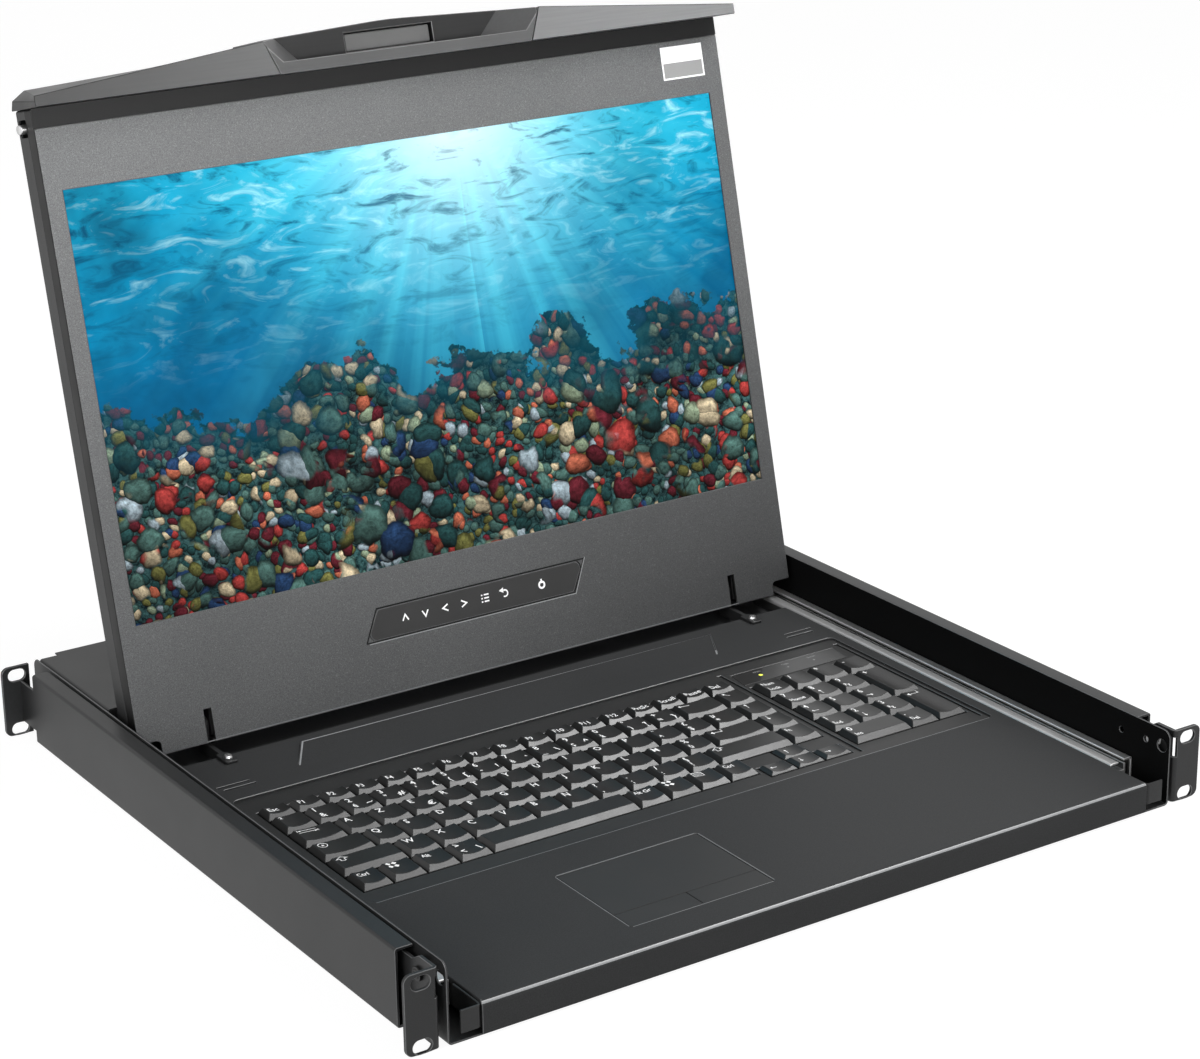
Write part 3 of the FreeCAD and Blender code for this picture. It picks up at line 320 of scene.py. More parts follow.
@dataclass(frozen=True)
class Metal:
    """Bare, plated or painted metal with brushing along one axis and slight clouding."""

    name: str
    tone: Colour
    along: Point3 = (1.0, 1.0, 1.0)
    contrast: float = 0.12
    roughness: float = 0.3
    relief: float = 0.35
    metallic: float = 1.0
    # painted sheen: how much the colour is scaled at the left and at the right end
    painted_sheen: Point2 = (1.0, 1.0)
    gloss: float = 0.5
    fineness: float = 900.0
    clouding: float = 40.0
    depth: float = 0.00002
    half_length: float = 0.21

    def material(self) -> bpy.types.Material:
        """Makes the metal, with a painted sheen that lightens it from the left end to the right.

        Returns:
            The material.
        """
        s = Shader(self.name)
        lines = s.noise(s.place(self.along), self.fineness, 3.0, 0.65)
        clouds = s.noise(s.place(), self.clouding, 3.0)
        colour = s.mix(s.span(lines, *CORE), *shades(self.tone, self.contrast))
        # painted sheen: the colour grows lighter towards the right end
        if self.painted_sheen != (1.0, 1.0):
            x, end = s.axes(s.place())[0], self.half_length
            colour = s.dimmed(colour, s.span(x, -end, end, *self.painted_sheen))
        rough = s.span(clouds, 0.25, 0.75, self.roughness - 0.06, self.roughness + 0.08)
        return s.surface(colour, rough, Metallic=self.metallic,
                         Normal=s.bump(lines, self.depth, self.relief),
                         Specular_IOR_Level=self.gloss)


@dataclass(frozen=True)
class Plastic:
    """Moulded plastic with a spark-eroded grain."""

    name: str
    tone: Colour
    roughness: float = 0.45
    grain: float = 0.00003
    gloss: float = 0.5
    mottling: float = 0.06
    fineness: float = 2200.0
    clouding: float = 60.0

    def material(self) -> bpy.types.Material:
        """Makes the plastic.

        Returns:
            The material.
        """
        s = Shader(self.name)
        place = s.place()
        fine, coarse = s.noise(place, self.fineness, 2.0, 0.6), s.noise(place, self.clouding, 3.0)
        colour = s.mix(s.span(coarse, *CORE), *shades(self.tone, self.mottling))
        rough = s.span(coarse, 0.2, 0.8, self.roughness - 0.04, self.roughness + 0.05)
        return s.surface(colour, rough, Normal=s.bump(fine, self.grain, 0.6),
                         Specular_IOR_Level=self.gloss)


@dataclass(frozen=True)
class Ink:
    """Printed lettering: a thin, slightly uneven film."""

    name: str
    tone: Colour
    # light given off: the lit lamp's own; on legends and the label it is painted light
    glow: float = 0.0
    fineness: float = 3000.0
    thin: float = 0.9
    roughness: float = 0.55

    def material(self) -> bpy.types.Material:
        """Makes the ink.

        Returns:
            The material.
        """
        s = Shader(self.name)
        uneven = s.span(s.noise(s.place(), self.fineness), 0.25, 0.75)
        colour = s.mix(uneven, tuple(c * self.thin for c in self.tone), self.tone)
        return s.surface(colour, self.roughness, Emission_Color=self.tone,
                         Emission_Strength=self.glow)


@dataclass(frozen=True)
class PebblePicture:
    """The lit display: shafts of light in blue water over a bed of coloured pebbles."""

    name: str = "display_picture"
    light_at: Point2 = (1.02, 1.16)
    bed_height: float = 0.47
    depths: Sequence[Tuple[float, Colour]] = (
        (0.30, (0.0, 0.06, 0.15)), (0.55, (0.0, 0.14, 0.31)), (0.78, (0.001, 0.26, 0.47)),
        (1.0, (0.008, 0.40, 0.62)))
    stones: Sequence[Tuple[float, Colour]] = (
        (0.0, (0.020, 0.075, 0.075)), (0.22, (0.42, 0.050, 0.045)), (0.31, (0.075, 0.16, 0.14)),
        (0.48, (0.60, 0.50, 0.33)), (0.56, (0.13, 0.016, 0.026)), (0.68, (0.55, 0.15, 0.085)),
        (0.76, (0.17, 0.17, 0.05)), (0.84, (0.02, 0.055, 0.14)), (0.90, (0.36, 0.45, 0.50)),
        (0.95, (0.28, 0.36, 0.24)))
    glint: Colour = (0.50, 0.92, 0.98)
    sunlit: Colour = (0.09, 0.68, 0.84)
    blaze: Colour = (0.93, 1.0, 1.0)
    hollow: Colour = (0.0, 0.055, 0.13)
    deep: Colour = (0.0, 0.045, 0.10)
    haze: Colour = (0.0, 0.07, 0.11)
    grit: Tuple[Colour, Colour] = ((0.001, 0.006, 0.008), (0.045, 0.12, 0.12))
    layers: Sequence[Point3] = ((40.0, 0.50, 0.30), (24.0, 0.48, 0.44), (14.0, 0.46, 0.49),
                                (8.0, 0.44, 0.55))

    def lit(self, s: Shader, water: Socket, u: Socket, v: Socket) -> Tuple[Socket, Socket]:
        """Adds the glow of the light and its shafts to the water.

        Args:
            s: the material's tree.
            water: the water's colour.
            u: place across the display, 0 to 1.78.
            v: place up the display, 0 to 1.

        Returns:
            The lit water's colour and the distance from the light.
        """
        du, dv = s.math("SUBTRACT", u, self.light_at[0]), s.math("SUBTRACT", v, self.light_at[1])
        reach = s.math("SQRT", s.math("ADD", s.math("POWER", du, 2.0),
                                      s.times(s.math("POWER", dv, 2.0), 0.7)))
        glow = s.math("POWER", s.span(reach, 0.10, 1.0, 1.0, 0.0), 2.2)
        shaft = s.node("TexNoise", {"W": s.math("ARCTAN2", du, dv), "Scale": 9.0, "Detail": 3.0},
                       noise_dimensions="1D")
        beams = s.times(s.span(shaft.outputs["Fac"], 0.42, 0.68),
                        s.span(reach, 0.2, 1.1, 0.55, 0.0))
        light = s.math("ADD", glow, s.times(beams, 0.62), clamp=True)
        water = s.mix(light, water, self.sunlit)
        core = s.math("POWER", s.span(reach, 0.05, 0.62, 1.0, 0.0), 2.6)
        return s.mix(core, water, self.blaze), reach

    def water(self, s: Shader, u: Socket, v: Socket, place: Socket) -> Socket:
        """Draws the water with its light and ripples.

        Args:
            s: the material's tree.
            u: place across the display, 0 to 1.78.
            v: place up the display, 0 to 1.
            place: both as a vector.

        Returns:
            The water's colour.
        """
        wide = s.span(s.noise(place, 2.2, 4.0, 0.55, 0.6), *CORE, -0.12, 0.12)
        water, reach = self.lit(s, s.ramp(s.math("ADD", v, wide), self.depths), u, v)
        ripple = s.noise(s.place((3.0, 9.0, 1.0), (0, 0, 0.35), uv=True), 2.4, 5.0, 0.6, 1.2)
        crest = s.times(s.span(ripple, 0.54, 0.72), s.span(v, 0.50, 0.90))
        water = s.mix(s.times(crest, 0.75), water, self.glint)
        trough = s.times(s.span(ripple, 0.47, 0.33), s.span(v, 0.40, 0.9))
        water = s.mix(s.times(trough, 0.85), water, self.hollow)
        gloom = s.times(s.span(s.noise(place, 1.6, 5.0, 0.6), 0.44, 0.62),
                        s.span(reach, 0.35, 0.9, 0.0, 0.72))
        return s.mix(gloom, water, self.deep)

    def pebbles(self, s: Shader, place: Socket, scale: float, crowd: float
                ) -> Tuple[Socket, Socket]:
        """Draws one layer of pebbles, each lit from above and dark at its rim.

        Args:
            s: the material's tree.
            place: coordinates on the display.
            scale: pebbles per display height.
            crowd: radius of a pebble, as a share of its cell.

        Returns:
            The layer's colour and its mask.
        """
        cells = s.node("TexVoronoi", {"Vector": place, "Scale": scale}, voronoi_dimensions="2D")
        pick = s.node("SeparateColor", {0: cells.outputs["Color"]})
        tone = s.ramp(pick.outputs[0], self.stones, constant=True)
        away = s.node("VectorMath", {0: place, 1: cells.outputs["Position"]},
                      operation="SUBTRACT")
        lean = s.node("VectorMath", {0: away.outputs[0], 1: (0.35 * scale, 1.0 * scale, 0.0)},
                      operation="DOT_PRODUCT")
        side = s.span(lean.outputs["Value"], -crowd, crowd, 0.03, 1.25)
        distance = cells.outputs["Distance"]
        rim = s.span(distance, crowd * 0.55, crowd, 1.0, 0.18, smooth=True)
        texture = s.span(s.noise(place, scale * 6.0, 5.0, 0.75), 0.32, 0.68, 0.35, 1.6)
        lit = s.times(s.times(side, rim), texture)
        return s.dimmed(tone, lit), s.span(distance, crowd, crowd * 0.93)

    def bed(self, s: Shader, place: Socket) -> Socket:
        """Draws the bed: grit under four layers of pebbles, the largest on top.

        Args:
            s: the material's tree.
            place: coordinates on the display.

        Returns:
            The bed's colour.
        """
        bend = s.node("TexNoise", {"Vector": place, "Scale": 9.0, "Detail": 4.0})
        bent = s.node("VectorMath", {0: bend.outputs["Color"], 1: (0.07, 0.07, 0.0), 2: place},
                      operation="MULTIPLY_ADD")
        bed = s.mix(s.span(s.noise(place, 34.0, 5.0, 0.8), 0.42, 0.64), *self.grit)
        for scale, crowd, gate in self.layers:
            colour, mask = self.pebbles(s, bent.outputs[0], scale, crowd)
            patch = s.span(s.noise(place, scale * 0.30, 3.0), gate, gate + 0.02)
            bed = s.mix(s.times(mask, patch), bed, colour)
        return s.dimmed(bed, s.span(s.noise(place, 3.0, 3.0, 0.6), 0.30, 0.66, 0.30, 1.45))

    def material(self) -> bpy.types.Material:
        """Lays the bed under the water and lights the whole.

        Returns:
            The display's picture as a material.
        """
        s = Shader(self.name)
        place = s.place(uv=True)
        u, v, _ = s.axes(place)
        skyline = s.span(s.noise(place, 3.4, 6.0, 0.62), 0.25, 0.75, -0.17, 0.17)
        edge = s.math("SUBTRACT", s.math("ADD", skyline, self.bed_height), v)
        far = s.mix(s.span(edge, 0.0, 0.16, 0.62, 0.0), self.bed(s, place), self.haze)
        picture = s.mix(s.span(edge, -0.004, 0.004), self.water(s, u, v, place), far)
        return s.surface(s.mix(0.8, picture, BLACK), 0.30, Emission_Color=picture,
                         Emission_Strength=0.95, Specular_IOR_Level=0.06)


MADE: Dict[str, bpy.types.Material] = {}
# How far a metal's grain is drawn out on each axis: not at all, along y, along x.
PLAIN, LENGTHWISE, CROSSWISE = (1.0, 1.0, 1.0), (1.0, 0.03, 1.0), (0.02, 1.0, 1.0)


class Finish(Enum):
    """The finishes of the drawer, each made once."""

    CHASSIS = PowderCoat("chassis_powder_coat", 0.022, 0.18, 0.42, gloss=0.3)
    # the case's inner walls: the same paint, painted near black as shade
    INSIDE = PowderCoat("inner_wall_painted_shade", 0.004, 0.18, 0.6, gloss=0.06)
    DECK = PowderCoat("deck_powder_coat", 0.043, 0.16, 0.5, gloss=0.08)
    # the deck's front bend: painted much lighter as a highlight
    BEND = PowderCoat("deck_bend_painted_highlight", 0.34, 0.1, 0.36, 0.00002, 0.6)
    # painted highlights: light lines laid along edges and rims
    LIT_EDGE = PowderCoat("painted_edge_highlight", 0.36, 0.1, 0.4, 0.00001, 0.4)
    SOFT_EDGE = PowderCoat("painted_faint_highlight", 0.20, 0.1, 0.4, 0.00001, 0.4)
    # the bezel's speckled paint, with painted shade towards its lower right
    BEZEL = PowderCoat("bezel_speckled_coat_painted_shade", 0.10, 0.4, 0.5, 0.00004, 0.28, 2300.0, 0.3, 0.45)
    SHELL = PowderCoat("shell_powder_coat", 0.022, 0.2, 0.46, gloss=0.35)
    # lighter broken edges: painted highlights along the chamfers of case, brackets, deck, frame
    # and menu strip
    RIM = PowderCoat("rim_painted_highlight", 0.12, 0.05, 0.34, 0.00001, 0.6)
    LIT_RIM = PowderCoat("bezel_rim_highlight", 0.16, 0.05, 0.4, 0.00001, 0.5)
    # bright zinc: the spacers' own plating; on the slides' broken lip edges a painted highlight
    ZINC = Metal("bright_zinc_and_lip_highlight", grey(0.85), LENGTHWISE, 0.04, 0.40, 0.06, 0.4)
    ZINC_FLAT = Metal("zinc_flat", grey(0.52), LENGTHWISE, 0.05, 0.38, 0.06, 0.6)
    # dark zinc: the console port's own colour; on the slides' upright webs painted shade
    ZINC_WEB = Metal("dark_zinc_and_web_shade", grey(0.20), LENGTHWISE, 0.06, 0.42, 0.06)
    STEEL = Metal("plain_steel", grey(0.58), PLAIN, 0.10, 0.28)
    BLACK_STEEL = Metal("blackened_steel", grey(0.05), PLAIN, 0.15, 0.4)
    BALL = Metal("polished_balls", grey(0.72), PLAIN, 0.04, 0.12)
    CAN = Metal("supply_can_brushed", grey(0.55), (1.0, 0.1, 1.0), 0.08, 0.35)
    # wings and grip: a painted sheen lightens them towards the right end
    WING = Metal("wing_brushed_painted_sheen", grey(0.07, -0.01), CROSSWISE, 0.08, 0.45, 0.25, 0.0, (0.12, 2.4))
    GRIP = Metal("grip_brushed_painted_sheen", grey(0.045, -0.01), CROSSWISE, 0.08, 0.45, 0.25, 0.0, (0.6, 1.5),
                 0.4)
    # near-black copy of the handle's finish: painted shade in the grip's recess and on the wings'
    # broken edges
    WELL = Metal("grip_well_painted_shade", grey(0.012, -0.01), CROSSWISE, 0.12, 0.45, 0.25, 0.0,
                 gloss=0.2)
    # lighter broken edges of the grip: painted highlight
    METAL_RIM = Metal("handle_rim_highlight", grey(0.13), CROSSWISE, 0.05, 0.4, 0.1, 0.0)
    # near black: the top strip's own colour; on the bezel's side faces and round the menu strip
    # painted shade
    STRIP = Plastic("dark_strip_and_painted_shade", grey(0.006), 0.45, 0.00001, 0.2)
    BUTTON = Plastic("release_bar_plastic", grey(0.06), 0.4)
    KEY = Plastic("keycap_grain", grey(0.014), 0.34, 0.000004, 0.45)
    FRAME = Plastic("keyboard_frame_grain", grey(0.020), 0.46, 0.00002, 0.35)
    MEMBRANE = Plastic("membrane_sheet", grey(0.012), 0.5)
    PAD = Plastic("touch_film", grey(0.034), 0.44, 0.00001, 0.2)
    WINDOW = Plastic("smoked_window", grey(0.05), 0.3, 0.000002, 0.4)
    # painted shadow in the lamp window
    SHADE = Plastic("window_painted_shadow", grey(0.012), 0.3, 0.000002, 0.4)
    MENU = Plastic("menu_strip_gloss", grey(0.035), 0.32, 0.000004, 0.3)
    RUBBER = Plastic("socket_moulding", grey(0.012), 0.5)
    BOARD = Plastic("circuit_board_green", (0.012, 0.10, 0.045), 0.4)
    # the legends glow a little: painted light
    LEGEND = Ink("legend_white_painted_glow", grey(0.85), 0.35)
    LEGEND_DIM = Ink("legend_grey", grey(0.36))
    LAMP = Ink("lamp_lit", (0.75, 0.80, 0.10), 0.8)
    # its faint glow is painted light
    BADGE_LIGHT = Ink("badge_light_painted_glow", grey(0.80), 0.1)
    BADGE_DARK = Ink("badge_dark", grey(0.24))
    PICTURE = PebblePicture()

    def make(self) -> bpy.types.Material:
        """Returns the material, built the first time it is asked for."""
        if self.name not in MADE:
            MADE[self.name] = self.value.material()
        return MADE[self.name]


# --- shapes -----------------------------------------------------------------------------
def shown(name: str, data: bpy.types.ID) -> bpy.types.Object:
    """Puts a mesh, a lamp or a camera in the scene.

    Args:
        name: the object's name.
        data: what it shows.

    Returns:
        The object.
    """
    made = bpy.data.objects.new(name, data)
    bpy.context.scene.collection.objects.link(made)
    return made


class Part:
    """One visible piece: a mesh with a finish that rides on a body."""

    def __init__(self, name: str, mesh: bpy.types.Mesh) -> None:
        """Puts a mesh that is already in its place in the scene."""
        self.object = shown(name, mesh)

    def finish(self, finish: Finish) -> "Part":
        """Gives the whole piece one material.

        Args:
            finish: the material's finish.

        Returns:
            The same part.
        """
        self.object.data.materials.clear()
        self.object.data.materials.append(finish.make())
        return self

    def ride(self, body: str, slot: str, *nodes: str) -> None:
        """Hands the piece to its body.

        Args:
            body: the body that it moves with.
            slot: the record's material slot; not used.
            *nodes: the solids that it stands for, if any.
        """
        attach(self.object, body)
        if nodes:
            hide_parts(*nodes)
        LOG.info("%s rides on %s", self.object.name, body)


def body_of(node: str) -> str:
    """Names the body that a solid belongs to."""
    return frame["nodes"][node]["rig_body"]


def slot_of(node: str) -> str:
    """Names the material slot of a solid."""
    return {part["node"]: part["material_slot"] for part in frame["record"]["subparts"]}[node]


Zone = Tuple[Finish, Callable[[Vector, Vector], bool]]


class Shell:
    """A copy of a solid whose outer edges are broken and whose faces may differ in finish."""

    merge = 5e-6
    flat = math.radians(0.4)

    def __init__(self, node: str, join: bool) -> None:
        """Copies the solid and merges its loose triangles.

        Args:
            node: the solid's name.
            join: whether triangles in one plane are joined first.
        """
        self.node, self.mesh = node, frame["nodes"][node].data.copy()
        self.work, self.broken = bmesh.new(), set()
        self.work.from_mesh(self.mesh)
        self.box = [self.reach(axis) for axis in range(3)]
        bmesh.ops.remove_doubles(self.work, verts=self.work.verts, dist=self.merge)
        if join:
            bmesh.ops.dissolve_limit(self.work, angle_limit=self.flat, verts=self.work.verts,
                                     edges=self.work.edges)

    def reach(self, axis: int) -> Point2:
        """Returns the least and the greatest coordinate along an axis."""
        along = [vertex.co[axis] for vertex in self.work.verts]
        return min(along), max(along)

    def sort(self, zones: Sequence[Zone]) -> None:
        """Numbers each face's finish, 0 where no zone takes it.

        Args:
            zones: other finishes, each with a test of a face's middle and normal.
        """
        for face in self.work.faces:
            face.material_index = 0
            for number, (_, holds) in enumerate(zones, 1):
                if holds(face.calc_center_median(), face.normal):
                    face.material_index = number

    def chamfer(self, width: float, limit: float, number: int) -> None:
        """Breaks the outer edges.

        Args:
            width: width of the broken edge in metres.
            limit: edges that turn by more than this angle are broken.
            number: the broken edges' finish; -1 leaves that of the faces beside them.
        """
        sharp = [edge for edge in self.work.edges if len(edge.link_faces) == 2
                 and edge.is_convex and edge.calc_face_angle(0.0) > limit]
        made = bmesh.ops.bevel(self.work, geom=sharp, offset=width, offset_type="OFFSET",
                               segments=1, profile=0.5, affect="EDGES", clamp_overlap=False,
                               loop_slide=False, material=number)
        self.broken = set(made["faces"])

    def shade(self, limit: float) -> None:
        """Cuts faces of many corners up and marks which edges stay sharp.

        Args:
            limit: faces that meet at less than this angle are shaded as one.
        """
        many = [face for face in self.work.faces
                if len(face.verts) > 4 and face not in self.broken]
        bmesh.ops.triangulate(self.work, faces=many)
        for face in self.work.faces:
            face.smooth = True
        for edge in self.work.edges:
            if len(edge.link_faces) == 2:
                one, other = edge.link_faces
                alike = (one in self.broken) == (other in self.broken)
                edge.smooth = alike and edge.calc_face_angle(0.0) <= limit

    def fit(self) -> None:
        """Squeezes the shell back into the solid's box where a corner stands out of it."""
        for axis, (low, high) in enumerate(self.box):
            least, most = self.reach(axis)
            if least < low or most > high:
                gain = (high - low) / (most - least)
                for vertex in self.work.verts:
                    vertex.co[axis] = low + (vertex.co[axis] - least) * gain

    def part(self, finishes: Iterable[Finish]) -> None:
        """Ends the shell and hands it over in place of its solid.

        Args:
            finishes: the finishes in the order of the faces' numbers.
        """
        self.mesh.materials.clear()
        for finish in finishes:
            self.mesh.materials.append(finish.make())
        self.work.to_mesh(self.mesh)
        self.work.free()
        Part(self.node + "_shell", self.mesh).ride(body_of(self.node), slot_of(self.node),
                                                   self.node)


def softened(node: str, finish: Finish, width: float = 0.25, smooth: float = 35.0,
             zones: Sequence[Zone] = (), rim: Optional[Finish] = None, join: bool = True
             ) -> None:
    """Copies a solid, breaks its outer edges and dresses it.

    Args:
        node: the solid's name.
        finish: its finish.
        width: width of the broken edge in millimetres; none where it is 0.
        smooth: faces that meet at less than this angle, in degrees, are shaded as one.
        zones: other finishes, each with a test of a face's middle and normal.
        rim: the finish of the broken edges, where it differs; a lighter one is a painted highlight
            along them, a darker one painted shade.
        join: whether triangles in one plane are joined first; a sheet with slots keeps them.
    """
    shell, limit = Shell(node, join), math.radians(smooth)
    shell.sort(zones)
    if width > 0:
        shell.chamfer(width * MM, limit, len(zones) + 1 if rim else -1)
    shell.shade(limit)
    shell.fit()
    shell.part((finish, *(other for other, _ in zones), *((rim,) if rim else ())))


Row = Tuple[str, Finish, float]


def dress(rows: Iterable[Row]) -> None:
    """Dresses solids that have one finish each, with their edge widths in millimetres."""
    for node, finish, width in rows:
        softened(node, finish, width)


# --- studio -----------------------------------------------------------------------------
@dataclass(frozen=True)
class Lamp:
    """One rectangular soft light: size in metres, power in watts, spread in degrees."""

    name: str
    place: Point3
    aim: Point3
    size: Point2
    power: float
    spread: float = 180.0

    def hang(self) -> None:
        """Puts the light in the scene."""
        data = bpy.data.lights.new(self.name, "AREA")
        data.shape, data.energy, data.spread = "RECTANGLE", self.power, math.radians(self.spread)
        data.size, data.size_y = self.size
        toward = Vector(self.aim) - Vector(self.place)
        lamp = shown(self.name, data)
        lamp.location = self.place
        lamp.rotation_euler = toward.to_track_quat("-Z", "Y").to_euler()


@dataclass
class Studio:
    """Floor, lights and camera."""

    azimuth: float = 34.343
    elevation: float = 19.717
    roll: float = -0.513
    distance: float = 0.96003
    target: Point3 = (-0.32105, -0.3045, 0.33696)
    lens: float = 91.8
    sensor: float = 36.0
    shift: Point2 = (-0.0333, -0.0020)
    clip: Point2 = (0.05, 30.0)
    floor_half: float = 9.0
    floor_gap: float = 0.0004
    floor_tone: float = 0.86
    floor_glow: float = 1.17
    floor_share: float = 0.80
    fill: float = 0.25
    lamps: Sequence[Lamp] = (
        Lamp("key_soft", (0.75, -0.1, 1.2), (0.05, 0.1, 0.0), (0.42, 0.34), 13.0),
        Lamp("lid_soft", (-0.25, -1.3, 0.62), (-0.10, 0.40, 0.50), (0.6, 0.25), 2.2, 38.0),
        Lamp("front_soft", (-0.5, -2.1, 0.7), (0.0, 0.2, 0.15), (1.0, 0.8), 4.5),
        Lamp("left_soft", (-1.7, -0.4, 0.8), (0.0, 0.2, 0.1), (1.0, 1.0), 11.0))

    def camera(self) -> None:
        """Sets the camera at the viewing angle."""
        azimuth, elevation = math.radians(self.azimuth), math.radians(self.elevation)
        back = Vector((-math.cos(elevation) * math.sin(azimuth),
                       -math.cos(elevation) * math.cos(azimuth), math.sin(elevation)))
        level = Vector((math.cos(azimuth), -math.sin(azimuth), 0.0))
        right = Matrix.Rotation(math.radians(self.roll), 3, back) @ level
        data = bpy.data.cameras.new("view")
        data.lens, data.sensor_width = self.lens, self.sensor
        data.shift_x, data.shift_y = self.shift
        data.clip_start, data.clip_end = self.clip
        turned = Matrix((right, back.cross(right), back)).transposed().to_4x4()
        place = Matrix.Translation(Vector(self.target) + back * self.distance)
        camera = shown("view", data)
        camera.matrix_world = place @ turned
        bpy.context.scene.camera = camera

    def floor(self) -> None:
        """Lays a plain pale floor under the drawer."""
        low = min(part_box(node)[0].z for node in frame["nodes"]) - self.floor_gap
        mesh = bpy.data.meshes.new("floor")
        corners = ((-1, -1), (1, -1), (1, 1), (-1, 1))
        mesh.from_pydata([(x * self.floor_half, y * self.floor_half, low) for x, y in corners],
                         [], [(0, 1, 2, 3)])
        s = Shader("pale_floor")
        plain = s.node("BsdfDiffuse", {"Color": grey(self.floor_tone)})
        white = s.node("Emission", {"Color": WHITE, "Strength": self.floor_glow})
        s.put(s.output, s.looked_at(plain, white, self.floor_share))
        mesh.materials.append(s.material)
        shown("floor", mesh)

    def world(self) -> None:
        """Surrounds the scene with faint light that looks white to the eye and in metal."""
        world = bpy.data.worlds.new("studio")
        bpy.context.scene.world = world
        world.use_nodes = True
        w = Wiring(world.node_tree)
        fill = w.node("Background", {"Color": WHITE, "Strength": self.fill})
        white = w.node("Background", {"Color": WHITE, "Strength": 1.0})
        w.node("OutputWorld", {"Surface": w.looked_at(fill, white, 1.0)})

    def build(self) -> None:
        """Sets up the whole studio."""
        self.camera()
        self.floor()
        self.world()
        for lamp in self.lamps:
            lamp.hang()
        bpy.context.scene.view_settings.view_transform = "Standard"


# --- printed figures --------------------------------------------------------------------
@dataclass(frozen=True)
class Plane:
    """A flat frame on the drawer, drawn on in millimetres."""

    origin: Point3
    across: Point3 = (1.0, 0.0, 0.0)
    up: Point3 = (0.0, 1.0, 0.0)

    def out(self) -> Vector:
        """Returns the way that the plane faces."""
        return Vector(self.across).cross(Vector(self.up))

    def matrix(self) -> Matrix:
        """Returns the transform from the plane's millimetres to metres in the scene."""
        turned = Matrix((self.across, self.up, self.out())).transposed().to_4x4()
        return Matrix.Translation(Vector(self.origin) * MM) @ turned @ Matrix.Scale(MM, 4)


TILT = math.radians(13.39)
LID = Plane((0.0, 321.445, 11.184), up=(0.0, math.sin(TILT), math.cos(TILT)))
DECK = Plane((0.0, 0.0, -1.9))
FRAME_TOP = Plane((0.0, 0.0, -3.1))
Figure = Tuple[List[Point2], List[Tuple[int, ...]]]


class Lettering:
    """Turns short words into flat outlines and keeps those already made."""

    capital = 0.70
    made: Dict[Tuple[str, float], Figure] = {}

    @classmethod
    def shape(cls, words: str, weight: float) -> Figure:
        """Gives the words' mesh at a letter height of one.

        Args:
            words: the text.
            weight: how far the outline is swollen.

        Returns:
            The points and the faces.
        """
        key = (words, weight)
        if key not in cls.made:
            curve = bpy.data.curves.new("words", "FONT")
            curve.body, curve.size = words, 1.0 / cls.capital
            curve.resolution_u, curve.offset = 2, weight
            holder = bpy.data.objects.new("words", curve)
            mesh = bpy.data.meshes.new_from_object(holder)
            cls.made[key] = ([(v.co.x, v.co.y) for v in mesh.vertices],
                             [tuple(p.vertices) for p in mesh.polygons])
            bpy.data.objects.remove(holder)
            bpy.data.meshes.remove(mesh)
            bpy.data.curves.remove(curve)
        return cls.made[key]


